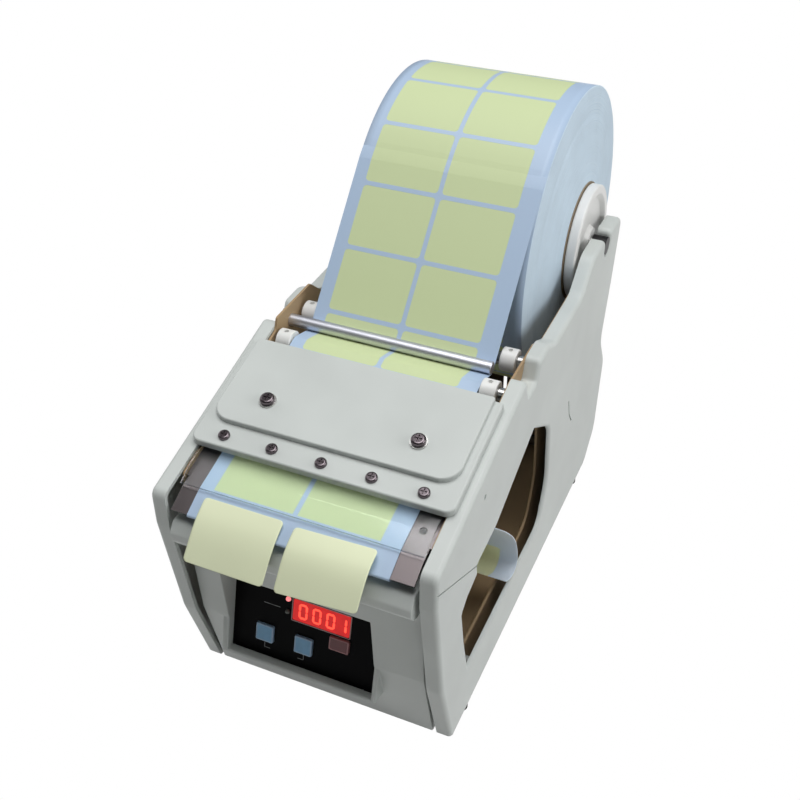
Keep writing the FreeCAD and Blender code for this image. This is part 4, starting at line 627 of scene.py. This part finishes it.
# Control panel: black printed foil with a red filter over four lit digits, two blue keys, a dark red key
# and two lamps, one lit. The printing is thin lines; the patterns are drawn in the panel's own frame.
PANEL_PLACE = (0.0, (PANEL_FOOT[0] + BACK_SHIFT) * MM, (PANEL_FOOT[1] + FOOT) * MM)
KEY_RIM = 1.1
KEY_HALF = (6.0, 6.0)
LAMPS_PARTING = 32.3


def panel_coords(tree):
    """Object coordinates turned into the panel's frame: X across, Y up the panel, Z out of its face."""
    place = node(tree, "ShaderNodeTexCoord")
    turned = node(tree, "ShaderNodeMapping", {"Vector": place.outputs["Object"]},
                  {"Location": PANEL_PLACE, "Rotation": (math.pi / 2 - LEAN_BACK, 0, 0)}, vector_type="TEXTURE")
    return turned.outputs[0]


def lit(name, colour, glow, strength, roughness=0.25):
    """Tinted plastic that is lit from behind, a little unevenly."""
    material, tree, shader = finish(name)
    cloud = node(tree, "ShaderNodeTexNoise", {"Vector": panel_coords(tree)}, {"Scale": 160.0, "Detail": 2.0})
    level = node(tree, "ShaderNodeMapRange", {"Value": cloud.outputs["Fac"]},
                 {"To Min": strength * 0.6, "To Max": strength * 1.4})
    tree.links.new(level.outputs[0], shader.inputs["Emission Strength"])
    shader.inputs["Base Color"].default_value = linear(colour)
    shader.inputs["Emission Color"].default_value = linear(glow)
    shader.inputs["Roughness"].default_value = roughness
    return material


def framed_key(name, middle, half, colour, edge_colour):
    """A translucent key cap whose rim is lighter than its field."""
    material, tree, shader = finish(name)
    from_middle = node(tree, "ShaderNodeVectorMath", {0: panel_coords(tree)},
                       {1: (middle[0] * MM, middle[1] * MM, 0)}, operation="SUBTRACT")
    size = node(tree, "ShaderNodeVectorMath", {0: from_middle.outputs[0]}, operation="ABSOLUTE")
    over = node(tree, "ShaderNodeVectorMath", {0: size.outputs[0]},
                {1: ((half[0] - KEY_RIM) * MM, (half[1] - KEY_RIM) * MM, 1)}, operation="SUBTRACT")
    parts = node(tree, "ShaderNodeSeparateXYZ", {0: over.outputs[0]})
    most = node(tree, "ShaderNodeMath", {0: parts.outputs["X"], 1: parts.outputs["Y"]}, operation="MAXIMUM")
    rim = node(tree, "ShaderNodeMapRange", {"Value": most.outputs[0]}, {"From Min": 0.0, "From Max": 0.3 * MM})
    cloud = node(tree, "ShaderNodeTexNoise", {"Vector": from_middle.outputs[0]}, {"Scale": 350.0, "Detail": 2.0})
    tint = node(tree, "ShaderNodeMapRange", {"Value": cloud.outputs["Fac"]}, {"To Min": 0.85, "To Max": 1.15})
    field = node(tree, "ShaderNodeVectorMath", {1: tint.outputs[0]}, {0: linear(colour)[:3]}, operation="MULTIPLY")
    mixed = node(tree, "ShaderNodeMix", {"Factor": rim.outputs[0], "A": field.outputs[0]},
                 {"B": linear(edge_colour)}, data_type="RGBA")
    tree.links.new(mixed.outputs["Result"], shader.inputs["Base Color"])
    shader.inputs["Roughness"].default_value = 0.35
    return material


def print_marks(name, polygons, out, material):
    """Flat printing on the panel: polygons of (across, up) corners, a hair above its face."""
    points, faces = [], []
    for polygon in polygons:
        faces.append(list(range(len(points), len(points) + len(polygon))))
        points += [(x, *(on_panel(up, out) + (BACK_SHIFT, FOOT))) for x, up in polygon]
    item = surface(name, points, faces, smooth=False)
    item.data.materials.append(material)
    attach(item, "frame")


def line(start, end, wide):
    """A printed line with pointed ends, as a six-cornered polygon."""
    start, end = np.asarray(start, float), np.asarray(end, float)
    course = (end - start) / np.linalg.norm(end - start) * wide / 2
    side = np.array([-course[1], course[0]])
    return [start, start + course - side, end - course - side, end, end - course + side, start + course + side]


foil = moulded("black_foil", "#050506", 0.5, 0.5, 0.01, 0.1, 0.04)
paint(foil, "control_panel")
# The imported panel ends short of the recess, so a border of the same foil fills up its sides and its top.
PLATE_LEFT, PLATE_RIGHT, PLATE_TOP = -55.2, 34.7, 44.9
low, high = PANEL_ENDS
left, right = PANEL_SIDES
print_marks("foil_border", [
    [(left, low), (PLATE_LEFT, low), (PLATE_LEFT, high), (left, high)],
    [(PLATE_RIGHT, low), (right, low), (right, high), (PLATE_RIGHT, high)],
    [(PLATE_LEFT, PLATE_TOP), (PLATE_RIGHT, PLATE_TOP), (PLATE_RIGHT, high), (PLATE_LEFT, high)]],
    -0.02, foil)
paint(lit("red_filter", "#8A0808", "#D81010", 0.7, 0.5), "display_window")
# Three zeros and a one from seven-segment bars, which run between the six corners of a digit.
DIGIT_HALF, BAR_TALL, DIGIT_MIDDLE, BAR_WIDE = 2.3, 4.6, 31.0, 1.5
corners = {(i, j): (i * DIGIT_HALF, DIGIT_MIDDLE + j * BAR_TALL) for i in (-1, 1) for j in (-1, 0, 1)}
LOOP = [((-1, 1), (1, 1)), ((1, 1), (1, 0)), ((1, 0), (1, -1)), ((1, -1), (-1, -1)), ((-1, -1), (-1, 0)),
        ((-1, 0), (-1, 1))]
bars = [(middle, bar) for middle in (-9.5, -0.2, 9.0) for bar in LOOP] + [(16.8, bar) for bar in LOOP[1:3]]
print_marks("lit_digits", [line(np.add(corners[a], (middle, 0)), np.add(corners[b], (middle, 0)), BAR_WIDE)
                           for middle, (a, b) in bars],
            0.26, lit("lit_segments", "#FF5040", "#FF4830", 1.3))
box = [(-16.9, 23.1), (22.4, 23.1), (22.4, 38.9), (-16.9, 38.9)]
frame_ink = moulded("display_frame_ink", "#A88A8A", 0.4, 0.5, 0.005, 0.05)
print_marks("display_frame", [line(a, b, 0.7) for a, b in zip(box, box[1:] + box[:1])], 0.28, frame_ink)
grey_ink = moulded("grey_ink", "#7C8080", 0.4, 0.5, 0.005, 0.1)
print_marks("key_brackets", [line(a, b, 0.45) for a, b in (
    ((-34.0, 1.2), (-34.0, -2.9)), ((-34.2, -2.7), (-30.0, -2.7)), ((-7.0, 1.2), (-7.0, -2.9)),
    ((-6.8, -2.7), (-11.0, -2.7)), ((-36.5, 29.0), (-25.0, 29.0)))], 0.03, grey_ink)
paint(framed_key("blue_key_up", (-34.0, 8.0), KEY_HALF, "#74ABD2", "#9DB9D6"), "key_up")
paint(framed_key("blue_key_down", (-7.3, 8.0), KEY_HALF, "#74ABD2", "#9DB9D6"), "key_down")
paint(framed_key("red_key", (16.2, 17.1), (6.6, 4.6), "#5E1219", "#A06A6C"), "key_reset")
lamps, tree, shader = finish("lamp_lenses")
height = node(tree, "ShaderNodeSeparateXYZ", {0: panel_coords(tree)})
upper = node(tree, "ShaderNodeMath", {0: height.outputs["Y"]}, {1: LAMPS_PARTING * MM}, operation="GREATER_THAN")
lens = node(tree, "ShaderNodeMix", {"Factor": upper.outputs[0]}, {"A": linear("#5A5F5A"), "B": linear("#FF8C8C")},
            data_type="RGBA")
tree.links.new(lens.outputs["Result"], shader.inputs["Base Color"])
tree.links.new(lens.outputs["Result"], shader.inputs["Emission Color"])
tree.links.new(upper.outputs[0], shader.inputs["Emission Strength"])
shader.inputs["Roughness"].default_value = 0.2
paint(lamps, "status_lamps")
